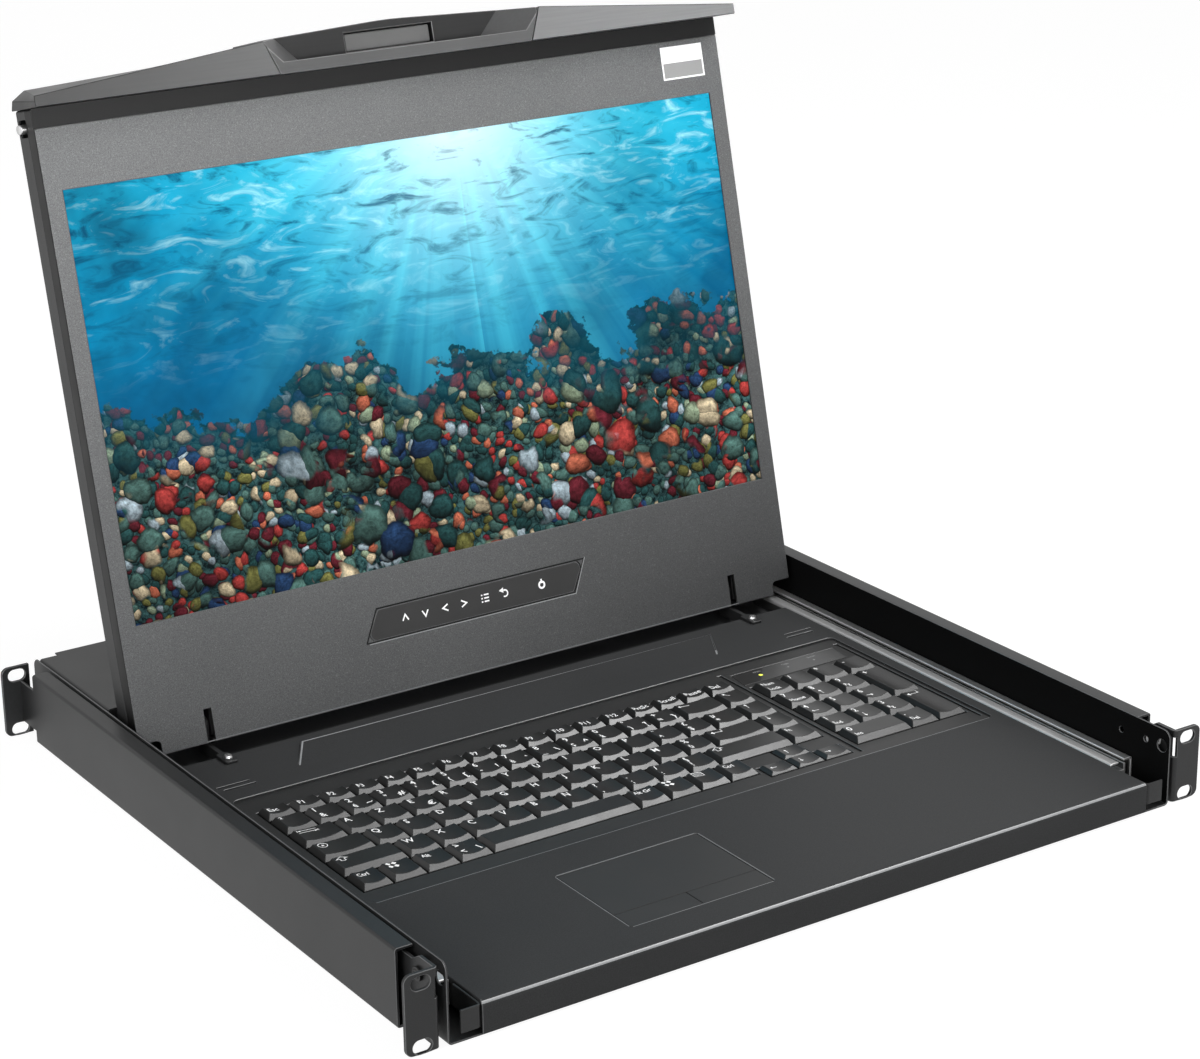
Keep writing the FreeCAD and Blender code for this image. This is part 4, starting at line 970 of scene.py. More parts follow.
class Print:
    """Flat figures in one plane, in millimetres, that become one thin printed piece."""

    above = 60.0
    arc_step = 20.0
    sharpest = 0.35

    def __init__(self, name: str, plane: Plane, lift: float) -> None:
        """Starts an empty print.

        Args:
            name: the piece's name.
            plane: the plane that it is drawn in.
            lift: how far it stands off the face, in millimetres.
        """
        self.name, self.plane, self.lift = name, plane, lift
        self.points: List[Point2] = []
        self.faces: List[Tuple[int, ...]] = []

    def add(self, points: Sequence[Point2], faces: Iterable[Tuple[int, ...]]) -> None:
        """Takes in a figure.

        Args:
            points: its points.
            faces: its faces, by the points' numbers.
        """
        start = len(self.points)
        self.points.extend(points)
        self.faces.extend(tuple(start + i for i in face) for face in faces)

    def polygon(self, outline: Sequence[Point2]) -> None:
        """Adds a filled outline of any shape."""
        self.add(outline, tessellate_polygon([[Vector((x, y, 0.0)) for x, y in outline]]))

    def block(self, left: float, right: float, low: float, high: float) -> None:
        """Adds a filled rectangle."""
        self.polygon([(left, low), (right, low), (right, high), (left, high)])

    def band(self, line: Sequence[Point2], width: float, closed: bool = False) -> None:
        """Adds a line of one width with mitred corners.

        Args:
            line: its middle line.
            width: its width.
            closed: whether it returns to its start.
        """
        count, sides = len(line), ([], [])
        for i, (x, y) in enumerate(line):
            before = line[i - 1] if i or closed else line[i]
            after = line[(i + 1) % count] if i < count - 1 or closed else line[i]
            first = Vector((x - before[0], y - before[1])) if before != (x, y) else None
            second = Vector((after[0] - x, after[1] - y)) if after != (x, y) else None
            first, second = (first or second).normalized(), (second or first).normalized()
            mitre = (first + second).normalized()
            normal = Vector((-mitre.y, mitre.x))
            turn = normal.dot(Vector((-first.y, first.x)))
            reach = 0.5 * width / max(self.sharpest, turn)
            for side, sign in zip(sides, (1, -1)):
                side.append((x + sign * normal.x * reach, y + sign * normal.y * reach))
        steps = range(count if closed else count - 1)
        self.add(sides[0] + sides[1],
                 [(i, (i + 1) % count, count + (i + 1) % count, count + i) for i in steps])

    def arc(self, centre: Point2, radius: float, width: float, start: float = 0.0,
            end: float = 360.0) -> None:
        """Adds part of a ring.

        Args:
            centre: its middle.
            radius: radius of its middle line.
            width: its width.
            start: the angle where it begins, in degrees from the across axis.
            end: the angle where it ends.
        """
        steps = max(6, int(abs(end - start) / self.arc_step))
        angles = [math.radians(start + (end - start) * i / steps) for i in range(steps + 1)]
        line = [(centre[0] + radius * math.cos(a), centre[1] + radius * math.sin(a))
                for a in angles]
        whole = abs(end - start) >= 360
        self.band(line[:-1] if whole else line, width, whole)

    def words(self, text: str, corner: Point2, height: float, weight: float,
              stretch: float = 1.0, align: float = 0.0) -> None:
        """Adds lettering.

        Args:
            text: the words.
            corner: their lower left corner.
            height: height of a capital letter.
            weight: how far the outline is swollen.
            stretch: width over the font's own width.
            align: 0 puts the corner at the left, 0.5 in the middle, 1 at the right.
        """
        points, faces = Lettering.shape(text, weight)
        left, right = min(x for x, _ in points), max(x for x, _ in points)
        back = left + align * (right - left)
        self.add([(corner[0] + (x - back) * height * stretch, corner[1] + y * height)
                  for x, y in points], faces)

    def heights(self, nodes: Sequence[str]) -> List[float]:
        """Finds how high the solids stand over the plane at each point.

        Args:
            nodes: the solids that the print lies on; none for the bare plane.

        Returns:
            The height of each point in millimetres.
        """
        to_plane, trees = self.plane.matrix().inverted(), []
        for node in nodes:
            source = frame["nodes"][node]
            placed = to_plane @ source.matrix_world
            trees.append(BVHTree.FromPolygons([placed @ v.co for v in source.data.vertices],
                                              [p.vertices[:] for p in source.data.polygons]))
        found = []
        for x, y in self.points:
            hits = [tree.ray_cast(Vector((x, y, self.above)), Vector((0, 0, -1)))[0]
                    for tree in trees]
            found.append(max((hit.z for hit in hits if hit is not None), default=0.0) + self.lift)
        return found

    def part(self, finish: Finish, body: str, slot: str, *nodes: str) -> None:
        """Ends the print, its faces turned outwards, and hands it to its body.

        Args:
            finish: the ink.
            body: the body that it moves with.
            slot: the material slot of the face under it.
            *nodes: the solids that it lies on, where the face isn't flat.
        """
        matrix, mesh = self.plane.matrix(), bpy.data.meshes.new(self.name)
        mesh.from_pydata([matrix @ Vector((x, y, z))
                          for (x, y), z in zip(self.points, self.heights(nodes))], [], self.faces)
        work = bmesh.new()
        work.from_mesh(mesh)
        for face in work.faces:
            face.normal_update()
            if face.normal.dot(self.plane.out()) < 0:
                face.normal_flip()
        work.to_mesh(mesh)
        work.free()
        Part(self.name, mesh).finish(finish).ride(body, slot)


# --- screws -----------------------------------------------------------------------------
class ScrewTree:
    """Geometry Nodes that set one recessed screw head on every point."""

    name = "recessed_screw_heads"
    sockets = (("Points", "Geometry"), ("Radius", "Float"), ("Height", "Float"),
               ("Recess", "Float"), ("Finish", "Material"))
    corners = 28
    taper = 0.80
    cross = 1.15
    quarter = 1.57
    seed = 11

    def __init__(self) -> None:
        """Takes the node group, built the first time."""
        self.group = bpy.data.node_groups.get(self.name) or self.build()

    def head(self, w: Wiring, radius: Socket, height: Socket, recess: Socket) -> Socket:
        """Wires one head: a tapered disc less a cross.

        Args:
            w: the tree.
            radius: radius of the head.
            height: its height.
            recess: width of the cross.

        Returns:
            The head's mesh.
        """
        disc = w.node("GeometryNodeMeshCone", {
            "Vertices": self.corners, "Radius Top": w.times(radius, self.taper),
            "Radius Bottom": radius, "Depth": height})
        lift = w.node("CombineXYZ", {2: height}).outputs[0]
        bars = w.node("GeometryNodeJoinGeometry")
        for axis in (0, 1):
            size = w.node("CombineXYZ", {axis: w.times(radius, self.cross), 1 - axis: recess,
                                         2: height}).outputs[0]
            bar = w.node("GeometryNodeMeshCube", {"Size": size}).outputs["Mesh"]
            raised = w.node("GeometryNodeTransform", {"Geometry": bar, "Translation": lift})
            w.put(bars.inputs[0], raised.outputs["Geometry"])
        carve = {0: disc.outputs["Mesh"], 1: bars.outputs[0], "Self Intersection": True}
        return w.node("GeometryNodeMeshBoolean", carve, operation="DIFFERENCE",
                      solver="EXACT").outputs["Mesh"]

    def turned(self, w: Wiring) -> Socket:
        """Wires each head's rotation: along its point's axis, with a turn of its own.

        Args:
            w: the tree.

        Returns:
            The rotation.
        """
        axis = w.node("GeometryNodeInputNamedAttribute", {"Name": "axis"},
                      data_type="FLOAT_VECTOR").outputs["Attribute"]
        aim = w.node("FunctionNodeAlignRotationToVector", {"Vector": axis}, axis="Z").outputs[0]
        spin = w.node("FunctionNodeRandomValue", {0: (0.0, 0.0, 0.0), 1: (0.0, 0.0, self.quarter),
                                                  "Seed": self.seed},
                      data_type="FLOAT_VECTOR").outputs[0]
        return w.node("FunctionNodeRotateRotation", {0: aim, 1: spin},
                      rotation_space="LOCAL").outputs[0]

    def build(self) -> bpy.types.NodeTree:
        """Wires the group: heads on points, realized and dressed.

        Returns:
            The node group.
        """
        group = bpy.data.node_groups.new(self.name, "GeometryNodeTree")
        for name, kind in self.sockets:
            group.interface.new_socket(name, in_out="INPUT", socket_type="NodeSocket" + kind)
        group.interface.new_socket("Heads", in_out="OUTPUT", socket_type="NodeSocketGeometry")
        w = Wiring(group)
        given = w.node("NodeGroupInput").outputs
        head = self.head(w, given["Radius"], given["Height"], given["Recess"])
        heads = w.node("GeometryNodeInstanceOnPoints", {
            "Points": given["Points"], "Instance": head, "Rotation": self.turned(w)})
        real = w.node("GeometryNodeRealizeInstances", {0: heads.outputs[0]})
        dressed = w.node("GeometryNodeSetMaterial", {"Geometry": real.outputs[0],
                                                     "Material": given["Finish"]})
        w.node("NodeGroupOutput", {"Heads": dressed.outputs[0]})
        return group

    def heads(self, name: str, places: Sequence[Tuple[Point3, Point3]], finish: Finish,
              sizes: Point3) -> Part:
        """Makes the heads of one set of screws.

        Args:
            name: the piece's name.
            places: each head's middle in millimetres and the way it faces.
            finish: the finish.
            sizes: radius and height of a head and width of its cross, in millimetres.

        Returns:
            The piece, a plain mesh.
        """
        mesh = bpy.data.meshes.new(name)
        mesh.from_pydata([tuple(c * MM for c in place) for place, _ in places], [], [])
        axis = mesh.attributes.new("axis", "FLOAT_VECTOR", "POINT")
        for item, (_, facing) in zip(axis.data, places):
            item.vector = facing
        holder = shown("screw_points", mesh)
        modifier = holder.modifiers.new("heads", "NODES")
        modifier.node_group = self.group
        wanted = dict(zip(("Radius", "Height", "Recess"), (size * MM for size in sizes)),
                      Finish=finish.make())
        for item in self.group.interface.items_tree:
            if item.item_type == "SOCKET" and item.in_out == "INPUT" and item.name in wanted:
                modifier[item.identifier] = wanted[item.name]
        bpy.context.view_layer.update()
        graph = bpy.context.evaluated_depsgraph_get()
        made = bpy.data.meshes.new_from_object(holder.evaluated_get(graph))
        holder.modifiers.remove(modifier)
        bpy.data.objects.remove(holder)
        return Part(name, made)


# --- the drawer's parts -----------------------------------------------------------------
@dataclass
class Case:
    """The fixed case with its brackets, spacers and screws."""

    wall_inner: float = 219.0
    slack: float = 0.3
    leg_face: float = 226.92
    screw_y: Sequence[float] = (14.0, 165.0, 316.0)
    screw_z: Sequence[float] = (-11.5, 12.5)
    head: Point3 = (2.6, 0.5, 0.9)
    edge: float = 0.28
    brackets: Sequence[str] = ("front_bracket_left", "front_bracket_right",
                               "rear_bracket_left", "rear_bracket_right")
    plain: Sequence[Row] = (
        ("bracket_spacers", Finish.ZINC, 0.15), ("bracket_studs_left", Finish.STEEL, 0.15),
        ("bracket_studs_right", Finish.STEEL, 0.15), ("bracket_screws", Finish.BLACK_STEEL, 0.2))

    def pan(self) -> None:
        """Dresses the pan, its inner faces painted darker than its outer ones as shade."""
        def within(middle: Vector, normal: Vector) -> bool:
            """Tells whether a face looks into the case."""
            beside = abs(middle.x) < (self.wall_inner + self.slack) * MM
            return beside and normal.x * middle.x < 0 and abs(normal.x) > 0.5

        softened("case_pan", Finish.CHASSIS, self.edge, zones=((Finish.INSIDE, within),),
                 rim=Finish.RIM)

    def screws(self) -> None:
        """Sets recessed heads on the screws through the bracket legs."""
        places = [((side * self.leg_face, y, z), (float(side), 0.0, 0.0))
                  for side in (-1, 1) for y in self.screw_y for z in self.screw_z]
        heads = ScrewTree().heads("bracket_screw_crowns", places, Finish.BLACK_STEEL, self.head)
        heads.ride("case", "screw_steel")

    def build(self) -> None:
        """Builds the case."""
        self.pan()
        for node in self.brackets:
            softened(node, Finish.CHASSIS, self.edge, rim=Finish.RIM, join=False)
        dress(self.plain)
        self.screws()


@dataclass
class Slides:
    """The telescopic slides at both sides."""

    members: Sequence[str] = ("slide_outer_pair", "slide_inner_pair", "slide_middle_left",
                              "slide_middle_right")
    cages: Sequence[str] = ("ball_cage_outer_left", "ball_cage_outer_right",
                            "ball_cage_inner_left", "ball_cage_inner_right")
    web: Point2 = (-15.0, -4.0)

    def build(self) -> None:
        """Dresses the members, their upright webs painted darker as shade and their lips' broken
        edges painted bright as highlights, and the cages.
        """
        def upright(middle: Vector, normal: Vector) -> bool:
            """Tells whether a face belongs to a web."""
            return abs(normal.x) > 0.8 and self.web[0] * MM < middle.z < self.web[1] * MM

        for node in self.members:
            softened(node, Finish.ZINC_FLAT, 0.4, zones=((Finish.ZINC_WEB, upright),),
                     rim=Finish.ZINC)
        dress((node, Finish.BALL, 0.0) for node in self.cages)


@dataclass
class Drawer:
    """Deck, tray, rear cover and what the rear bay holds."""

    window: Span4 = (-195.3, 195.3, 111.0, 254.4)
    ramp: Sequence[Point2] = ((-144.9, 273.9), (-130.4, 297.4), (138.4, 296.2), (125.3, 271.3))
    pad: Span4 = (-107.0, -22.4, 19.2, 84.8)
    bend_end: float = 5.0
    ramp_line: float = 0.9
    window_line: Point3 = (0.45, 3.0, 0.45)
    pad_line: Point3 = (0.4, 1.0, 0.5)
    sheets: Sequence[Row] = (
        ("tray_pan", Finish.CHASSIS, 0.25), ("slide_end_tabs", Finish.CHASSIS, 0.25),
        ("rear_cover", Finish.CHASSIS, 0.25))
    bay: Sequence[Row] = (
        ("control_board", Finish.BOARD, 0.1), ("power_supply", Finish.CAN, 0.3),
        ("power_inlet", Finish.RUBBER, 0.3), ("console_port", Finish.ZINC_WEB, 0.2))

    def deck(self) -> None:
        """Dresses the deck, its front bend glossier than its top and painted much lighter as a
        highlight.
        """
        def bent(middle: Vector, normal: Vector) -> bool:
            """Tells whether a face is part of the front bend."""
            return middle.y < self.bend_end * MM and normal.y < -0.5 and normal.z > 0.5

        softened("deck", Finish.DECK, 0.2, 20.0, ((Finish.BEND, bent),), Finish.RIM, False)

    def paint_edge_highlights(self) -> None:
        """Lays a painted highlight along the ramp's rim and fainter painted highlights along the
        openings' edges.
        """
        rim = Print("ramp_rim_highlight", DECK, 0.2)
        rim.band(self.ramp, self.ramp_line)
        rim.part(Finish.LIT_EDGE, "drawer", slot_of("deck"), "deck")
        lines = Print("opening_rim_highlights", DECK, 0.03)
        left, right, front, back = self.window
        away, short, wide = self.window_line
        for y in (front - away, back + away):
            lines.band([(left + short, y), (right - short, y)], wide)
        left, right, front, back = self.pad
        away, short, wide = self.pad_line
        for y in (front - away, back + away):
            lines.band([(left + short, y), (right - short, y)], wide)
        for x in (left - away, right + away):
            lines.band([(x, front + short), (x, back - short)], wide)
        lines.part(Finish.SOFT_EDGE, "drawer", slot_of("deck"))

    def build(self) -> None:
        """Builds the drawer."""
        self.deck()
        dress(self.sheets)
        self.paint_edge_highlights()
        dress(self.bay)


Key = Span4


@dataclass
class Symbol:
    """A key's drawn symbol, set out from its lower left corner in shares of its size."""

    ink: Print
    corner: Point2
    size: float
    line: float = 0.42
    broad: float = 1.35
    ways: Dict[str, Point2] = field(default_factory=lambda: {
        "@left": (-1, 0), "@right": (1, 0), "@down": (0, -1), "@up": (0, 1), "@back": (-1, 0),
        "@home": (-1, 1), "@page_up": (0, 1), "@page_down": (0, -1)})

    def at(self, *places: Point2) -> List[Point2]:
        """Places points that are given in shares of the symbol's width and height."""
        wide, (x, y) = self.size * self.broad, self.corner
        return [(x + wide * u, y + self.size * v) for u, v in places]

    def arrow(self, way: Point2, reach: float) -> None:
        """Draws an arrow.

        Args:
            way: where it points.
            reach: half its length, as a share of the size.
        """
        middle, ahead = Vector(self.at((0.5, 0.5))[0]), Vector(way).normalized()
        side = Vector((-ahead.y, ahead.x)) * self.size * 0.28
        tip, tail = (middle + ahead * sign * self.size * reach for sign in (1, -1))
        neck = tip - ahead * self.size * 0.35
        self.ink.band([tuple(tail), tuple(neck)], self.line)
        self.ink.polygon([tuple(tip), tuple(neck + side), tuple(neck - side)])

    def shift(self) -> None:
        """Draws a hollow arrow that points up."""
        self.ink.band(self.at((0.3, 0), (0.3, 0.5), (0, 0.5), (0.5, 1), (1, 0.5), (0.7, 0.5),
                              (0.7, 0)), self.line, True)

    def enter(self) -> None:
        """Draws a bent arrow that points left."""
        self.ink.band(self.at((1.3, 1), (1.3, 0.4), (0.3, 0.4)), self.line)
        self.ink.polygon(self.at((0, 0.4), (0.35, 0.75), (0.35, 0.05)))

    def tab(self) -> None:
        """Draws two arrows, one over the other, that each run against a bar."""
        for level, way in ((0.75, -1), (0.25, 1)):
            ends = self.at((0, level), (1.7, level))
            self.ink.band(ends, self.line * 0.9)
            x, y = ends[way > 0]
            head, half, bar = x - way * self.size * 0.35, self.size * 0.17, self.size * 0.2
            self.ink.polygon([(x, y), (head, y + half), (head, y - half)])
            self.ink.band([(x + way * 0.35, y - bar), (x + way * 0.35, y + bar)],
                          self.line * 0.8)

    def lock(self) -> None:
        """Draws a padlock in a ring."""
        (x, y), = self.at((0.5, 0.5))
        self.ink.arc((x, y), self.size * 0.55, self.line)
        self.ink.block(x - 0.7, x + 0.7, y - 0.9, y + 0.2)
        self.ink.arc((x, y + 0.3), 0.5, 0.25, 0, 180)

    def mark(self) -> None:
        """Draws the plain sign of the system keys: four small diamonds."""
        (x, y), = self.at((0.5, 0.5))
        away, half = self.size * 0.52, self.size * 0.33
        for turn in range(4):
            angle = math.radians(45 + 90 * turn)
            u, v = x + math.cos(angle) * away, y + math.sin(angle) * away
            self.ink.polygon([(u - half, v), (u, v - half), (u + half, v), (u, v + half)])

    def menu(self) -> None:
        """Draws a framed list."""
        self.ink.band(self.at((0, 0), (1, 0), (1, 1), (0, 1)), self.line, True)
        for level in (0.3, 0.52, 0.74):
            (left, y), (right, _) = self.at((0, level), (1, level))
            self.ink.band([(left + 0.7, y), (right - 0.7, y)], 0.3)

    def draw(self, name: str) -> None:
        """Draws the symbol of a name.

        Args:
            name: an arrow's name, or that of one of the other symbols, after @.
        """
        if name in self.ways:
            self.arrow(self.ways[name], 0.85 if name == "@back" else 0.55)
        else:
            {"@shift": self.shift, "@enter": self.enter, "@tab": self.tab, "@lock": self.lock,
             "@mark": self.mark, "@menu": self.menu}[name]()


@dataclass
class Keyboard:
    """Keyboard frame, keys with their legends, and the lamps behind a smoked window."""

    unit: float = 19.05
    pitch: float = 19.5
    left: float = -190.3
    front: float = 126.0
    depth: float = 18.7
    block: float = 15.5
    top_keys: int = 17
    top_depth: float = 13.0
    arrow: Point2 = (18.1, 12.8)
    arrow_drop: float = 6.6
    pad_left: float = 113.3
    gap: float = 0.8
    taper: float = 2.2
    slope: float = 3.4
    letter: float = 4.5
    small_letter: float = 0.85
    long_word: float = 0.74
    long_face: Point2 = (0.016, 0.84)
    short_face: Point2 = (0.020, 0.92)
    inset: Point3 = (1.1, 1.4, 1.0)
    drop: float = 0.9
    foot: float = 1.0
    # painted shadow: the dark patch at the left end of the lamp window
    shade: Sequence[Point2] = ((113.0, 227.3), (124.0, 227.3), (136.5, 242.7), (115.0, 242.7))
    lamp_words: Sequence[Tuple[str, float]] = (("Num", 127.5), ("Caps", 147.5),
                                               ("Scroll", 166.0))
    word_line: float = 238.6
    word_face: Point2 = (1.7, 0.02)
    arrow_x: Sequence[float] = (148.0, 166.5)
    arrow_y: Point2 = (235.2, 233.9)
    arrow_half: float = 0.8
    lamp_at: Point2 = (129.0, 234.2)
    lamp_radius: float = 1.25
    lamp_sides: int = 20
    legends: Dict[str, str] = field(default_factory=lambda: {
        "function_keys": "Esc  F1  F2  F3  F4  F5  F6  F7  F8  F9  F10  F11  F12  PrtSc  Scroll"
                         "  Pause  Del",
        "number_row_keys": "²  1 &  2 é ~  3 \" #  4 ' {  5 ( [  6 - |  7 è `  8 _ \\  9 ç ^"
                           "  0 à  ° ) ]  + = }  @back  @home",
        "upper_row_keys": "@tab  A  Z  E · €  R  T  Y  U  I  O  P  ¨ ^  £ $  µ *  @page_up",
        "home_row_keys": "@lock  Q  S  D  F  G  H  J  K  L  M  % ù  @enter  @page_down",
        "lower_row_keys": "@shift  W  X  C  V  B  N  ? ,  . ;  / :  § !  @shift  Fn",
        "bottom_row_keys": "Ctrl  @mark  Alt  > < \\  Alt·Gr  @mark  @menu  Ctrl",
        "arrow_keys": "@left  @down  @right  @up",
        "number_pad_keys": "0 Ins  . Del  1 End  2 @down  3 Pg  4 @left  5  6 @right  7 Home"
                           "  8 @up  9 Pg  Num Lock  /  *  -  @enter  +"})

    def marks(self, group: str) -> List[List[str]]:
        """Reads a group's legends: keys stand two spaces apart, marks one, and · is blank."""
        return [[mark.replace("·", " ").strip() for mark in key.split(" ")]
                for key in self.legends[group].split("  ")]

    def run(self, row: int, widths: Sequence[float], start: float = 0.0) -> List[Key]:
        """Lays keys side by side.

        Args:
            row: the row, from the front.
            widths: the keys' widths in key units.
            start: where the first begins, in key units.

        Returns:
            Each key's left edge, front edge, width and depth.
        """
        keys, x = [], self.left + start * self.unit
        for width in widths:
            keys.append((x, self.front + row * self.pitch, width * self.unit, self.depth))
            x += width * self.unit
        return keys

    def pad_key(self, column: int, row: int, wide: int = 1, deeper: float = 0.0) -> Key:
        """Gives one key of the number pad by its column and row."""
        return (self.pad_left + column * self.unit, self.front + row * self.pitch,
                wide * self.unit, self.depth + deeper)

    def layout(self) -> Dict[str, List[Key]]:
        """Lays out every group's keys in the order of their legends.

        Returns:
            The keys of each group.
        """
        top, (wide, deep) = self.block * self.unit / self.top_keys, self.arrow
        left, front = self.left + self.block * self.unit - 3 * wide, self.front - self.arrow_drop
        cell = self.pad_key
        return {
            "function_keys": [(self.left + i * top, self.front + 5 * self.pitch, top,
                               self.top_depth) for i in range(self.top_keys)],
            "number_row_keys": self.run(4, [1] * 13 + [1.5, 1]),
            "upper_row_keys": self.run(3, [1.35] + [1] * 12 + [1.15, 1]),
            "home_row_keys": self.run(2, [1.625] + [1] * 11 + [1.875, 1]),
            "lower_row_keys": self.run(1, [1.98] + [1] * 10 + [2.52, 1]),
            "bottom_row_keys": self.run(0, [0.91, 1, 1, 1]) + self.run(0, [1, 1, 1, 0.95], 8.57),
            "arrow_keys": [(left + column * wide, front + row * deep, wide, deep)
                           for column, row in ((0, 0), (1, 0), (2, 0), (1, 1))],
            "number_pad_keys": [cell(0, 0, 2), cell(2, 0)]
            + [cell(column, row) for row in (1, 2, 3) for column in range(3)]
            + [cell(column, 4) for column in range(4)]
            + [cell(3, row, deeper=self.pitch) for row in (0, 2)]}

    def legend(self, ink: Print, key: Key, marks: Sequence[str], group: str) -> None:
        """Letters one key: first mark at the top left, then lower left, then lower right.

        Args:
            ink: the print that takes the marks.
            key: the key's place and size.
            marks: its marks; an empty one is left out.
            group: the key's group.
        """
        x, y, width, depth = key
        low = group in ("function_keys", "arrow_keys")
        size = self.letter * (self.small_letter if low else 1.0)
        slope = self.slope * (0.6 if group == "arrow_keys" else 1.0)
        left = x + self.gap / 2 + self.taper + self.inset[0]
        right = x + width - self.gap / 2 - self.taper - self.inset[1]
        back, near = y + depth - self.gap / 2 - self.inset[2], y + self.gap / 2 + slope
        line = near + self.foot
        spots = [(left, back - size - self.drop), (left, line), (right, line)]
        if len(marks) == 1 and low:
            spots[0] = (left, (back + near - size) / 2)
        for index, (mark, spot) in enumerate(zip(marks, spots)):
            if mark.startswith("@"):
                Symbol(ink, spot, size).draw(mark)
            elif mark:
                long = len(mark) > 1
                height = size * (self.long_word if long and not low else 1.0)
                weight, stretch = self.long_face if long else self.short_face
                ink.words(mark, spot, height, weight, stretch, 1.0 if index == 2 else 0.0)

    def keys(self) -> None:
        """Dresses each group of keys and prints its legends on the scooped tops."""
        for group, keys in self.layout().items():
            softened(group, Finish.KEY, 0.22, 25.0)
            ink = Print(group + "_legends", FRAME_TOP, 0.05)
            for key, marks in zip(keys, self.marks(group)):
                self.legend(ink, key, marks, group)
            ink.part(Finish.LEGEND, body_of(group), slot_of(group), group)
        softened("space_bar", Finish.KEY, 0.22, 25.0)

    def lamps(self) -> None:
        """Puts the three lamps and their words behind the smoked window, with a painted shadow at
        the window's left end.
        """
        softened("led_window", Finish.WINDOW, 0.1)
        shade = Print("led_window_painted_shadow", FRAME_TOP, 0.12)
        shade.polygon(self.shade)
        words = Print("lamp_words", FRAME_TOP, 0.14)
        for text, x in self.lamp_words:
            words.words(text, (x, self.word_line), *self.word_face)
        top, tip = self.arrow_y
        for x in self.arrow_x:
            words.polygon([(x, top), (x + 2 * self.arrow_half, top), (x + self.arrow_half, tip)])
        glow, (x, y) = Print("lamp_lit", FRAME_TOP, 0.16), self.lamp_at
        angles = (math.tau * i / self.lamp_sides for i in range(self.lamp_sides))
        glow.polygon([(x + self.lamp_radius * math.cos(a), y + self.lamp_radius * math.sin(a))
                      for a in angles])
        for ink, finish in ((shade, Finish.SHADE), (words, Finish.LEGEND_DIM),
                            (glow, Finish.LAMP)):
            ink.part(finish, "drawer", "window_plastic")

    def build(self) -> None:
        """Builds the keyboard."""
        softened("keyboard_frame", Finish.FRAME, 0.3, rim=Finish.RIM)
        softened("keyboard_base", Finish.MEMBRANE, 0.0)
        self.keys()
        self.lamps()


@dataclass
class Touchpad:
    """The touchpad, its two buttons and the board under them."""

    plain: Sequence[Row] = (
        ("touchpad_plate", Finish.PAD, 0.18), ("touch_button_left", Finish.PAD, 0.18),
        ("touch_button_right", Finish.PAD, 0.18), ("touchpad_board", Finish.BOARD, 0.0))

    def build(self) -> None:
        """Dresses the touchpad."""
        dress(self.plain)


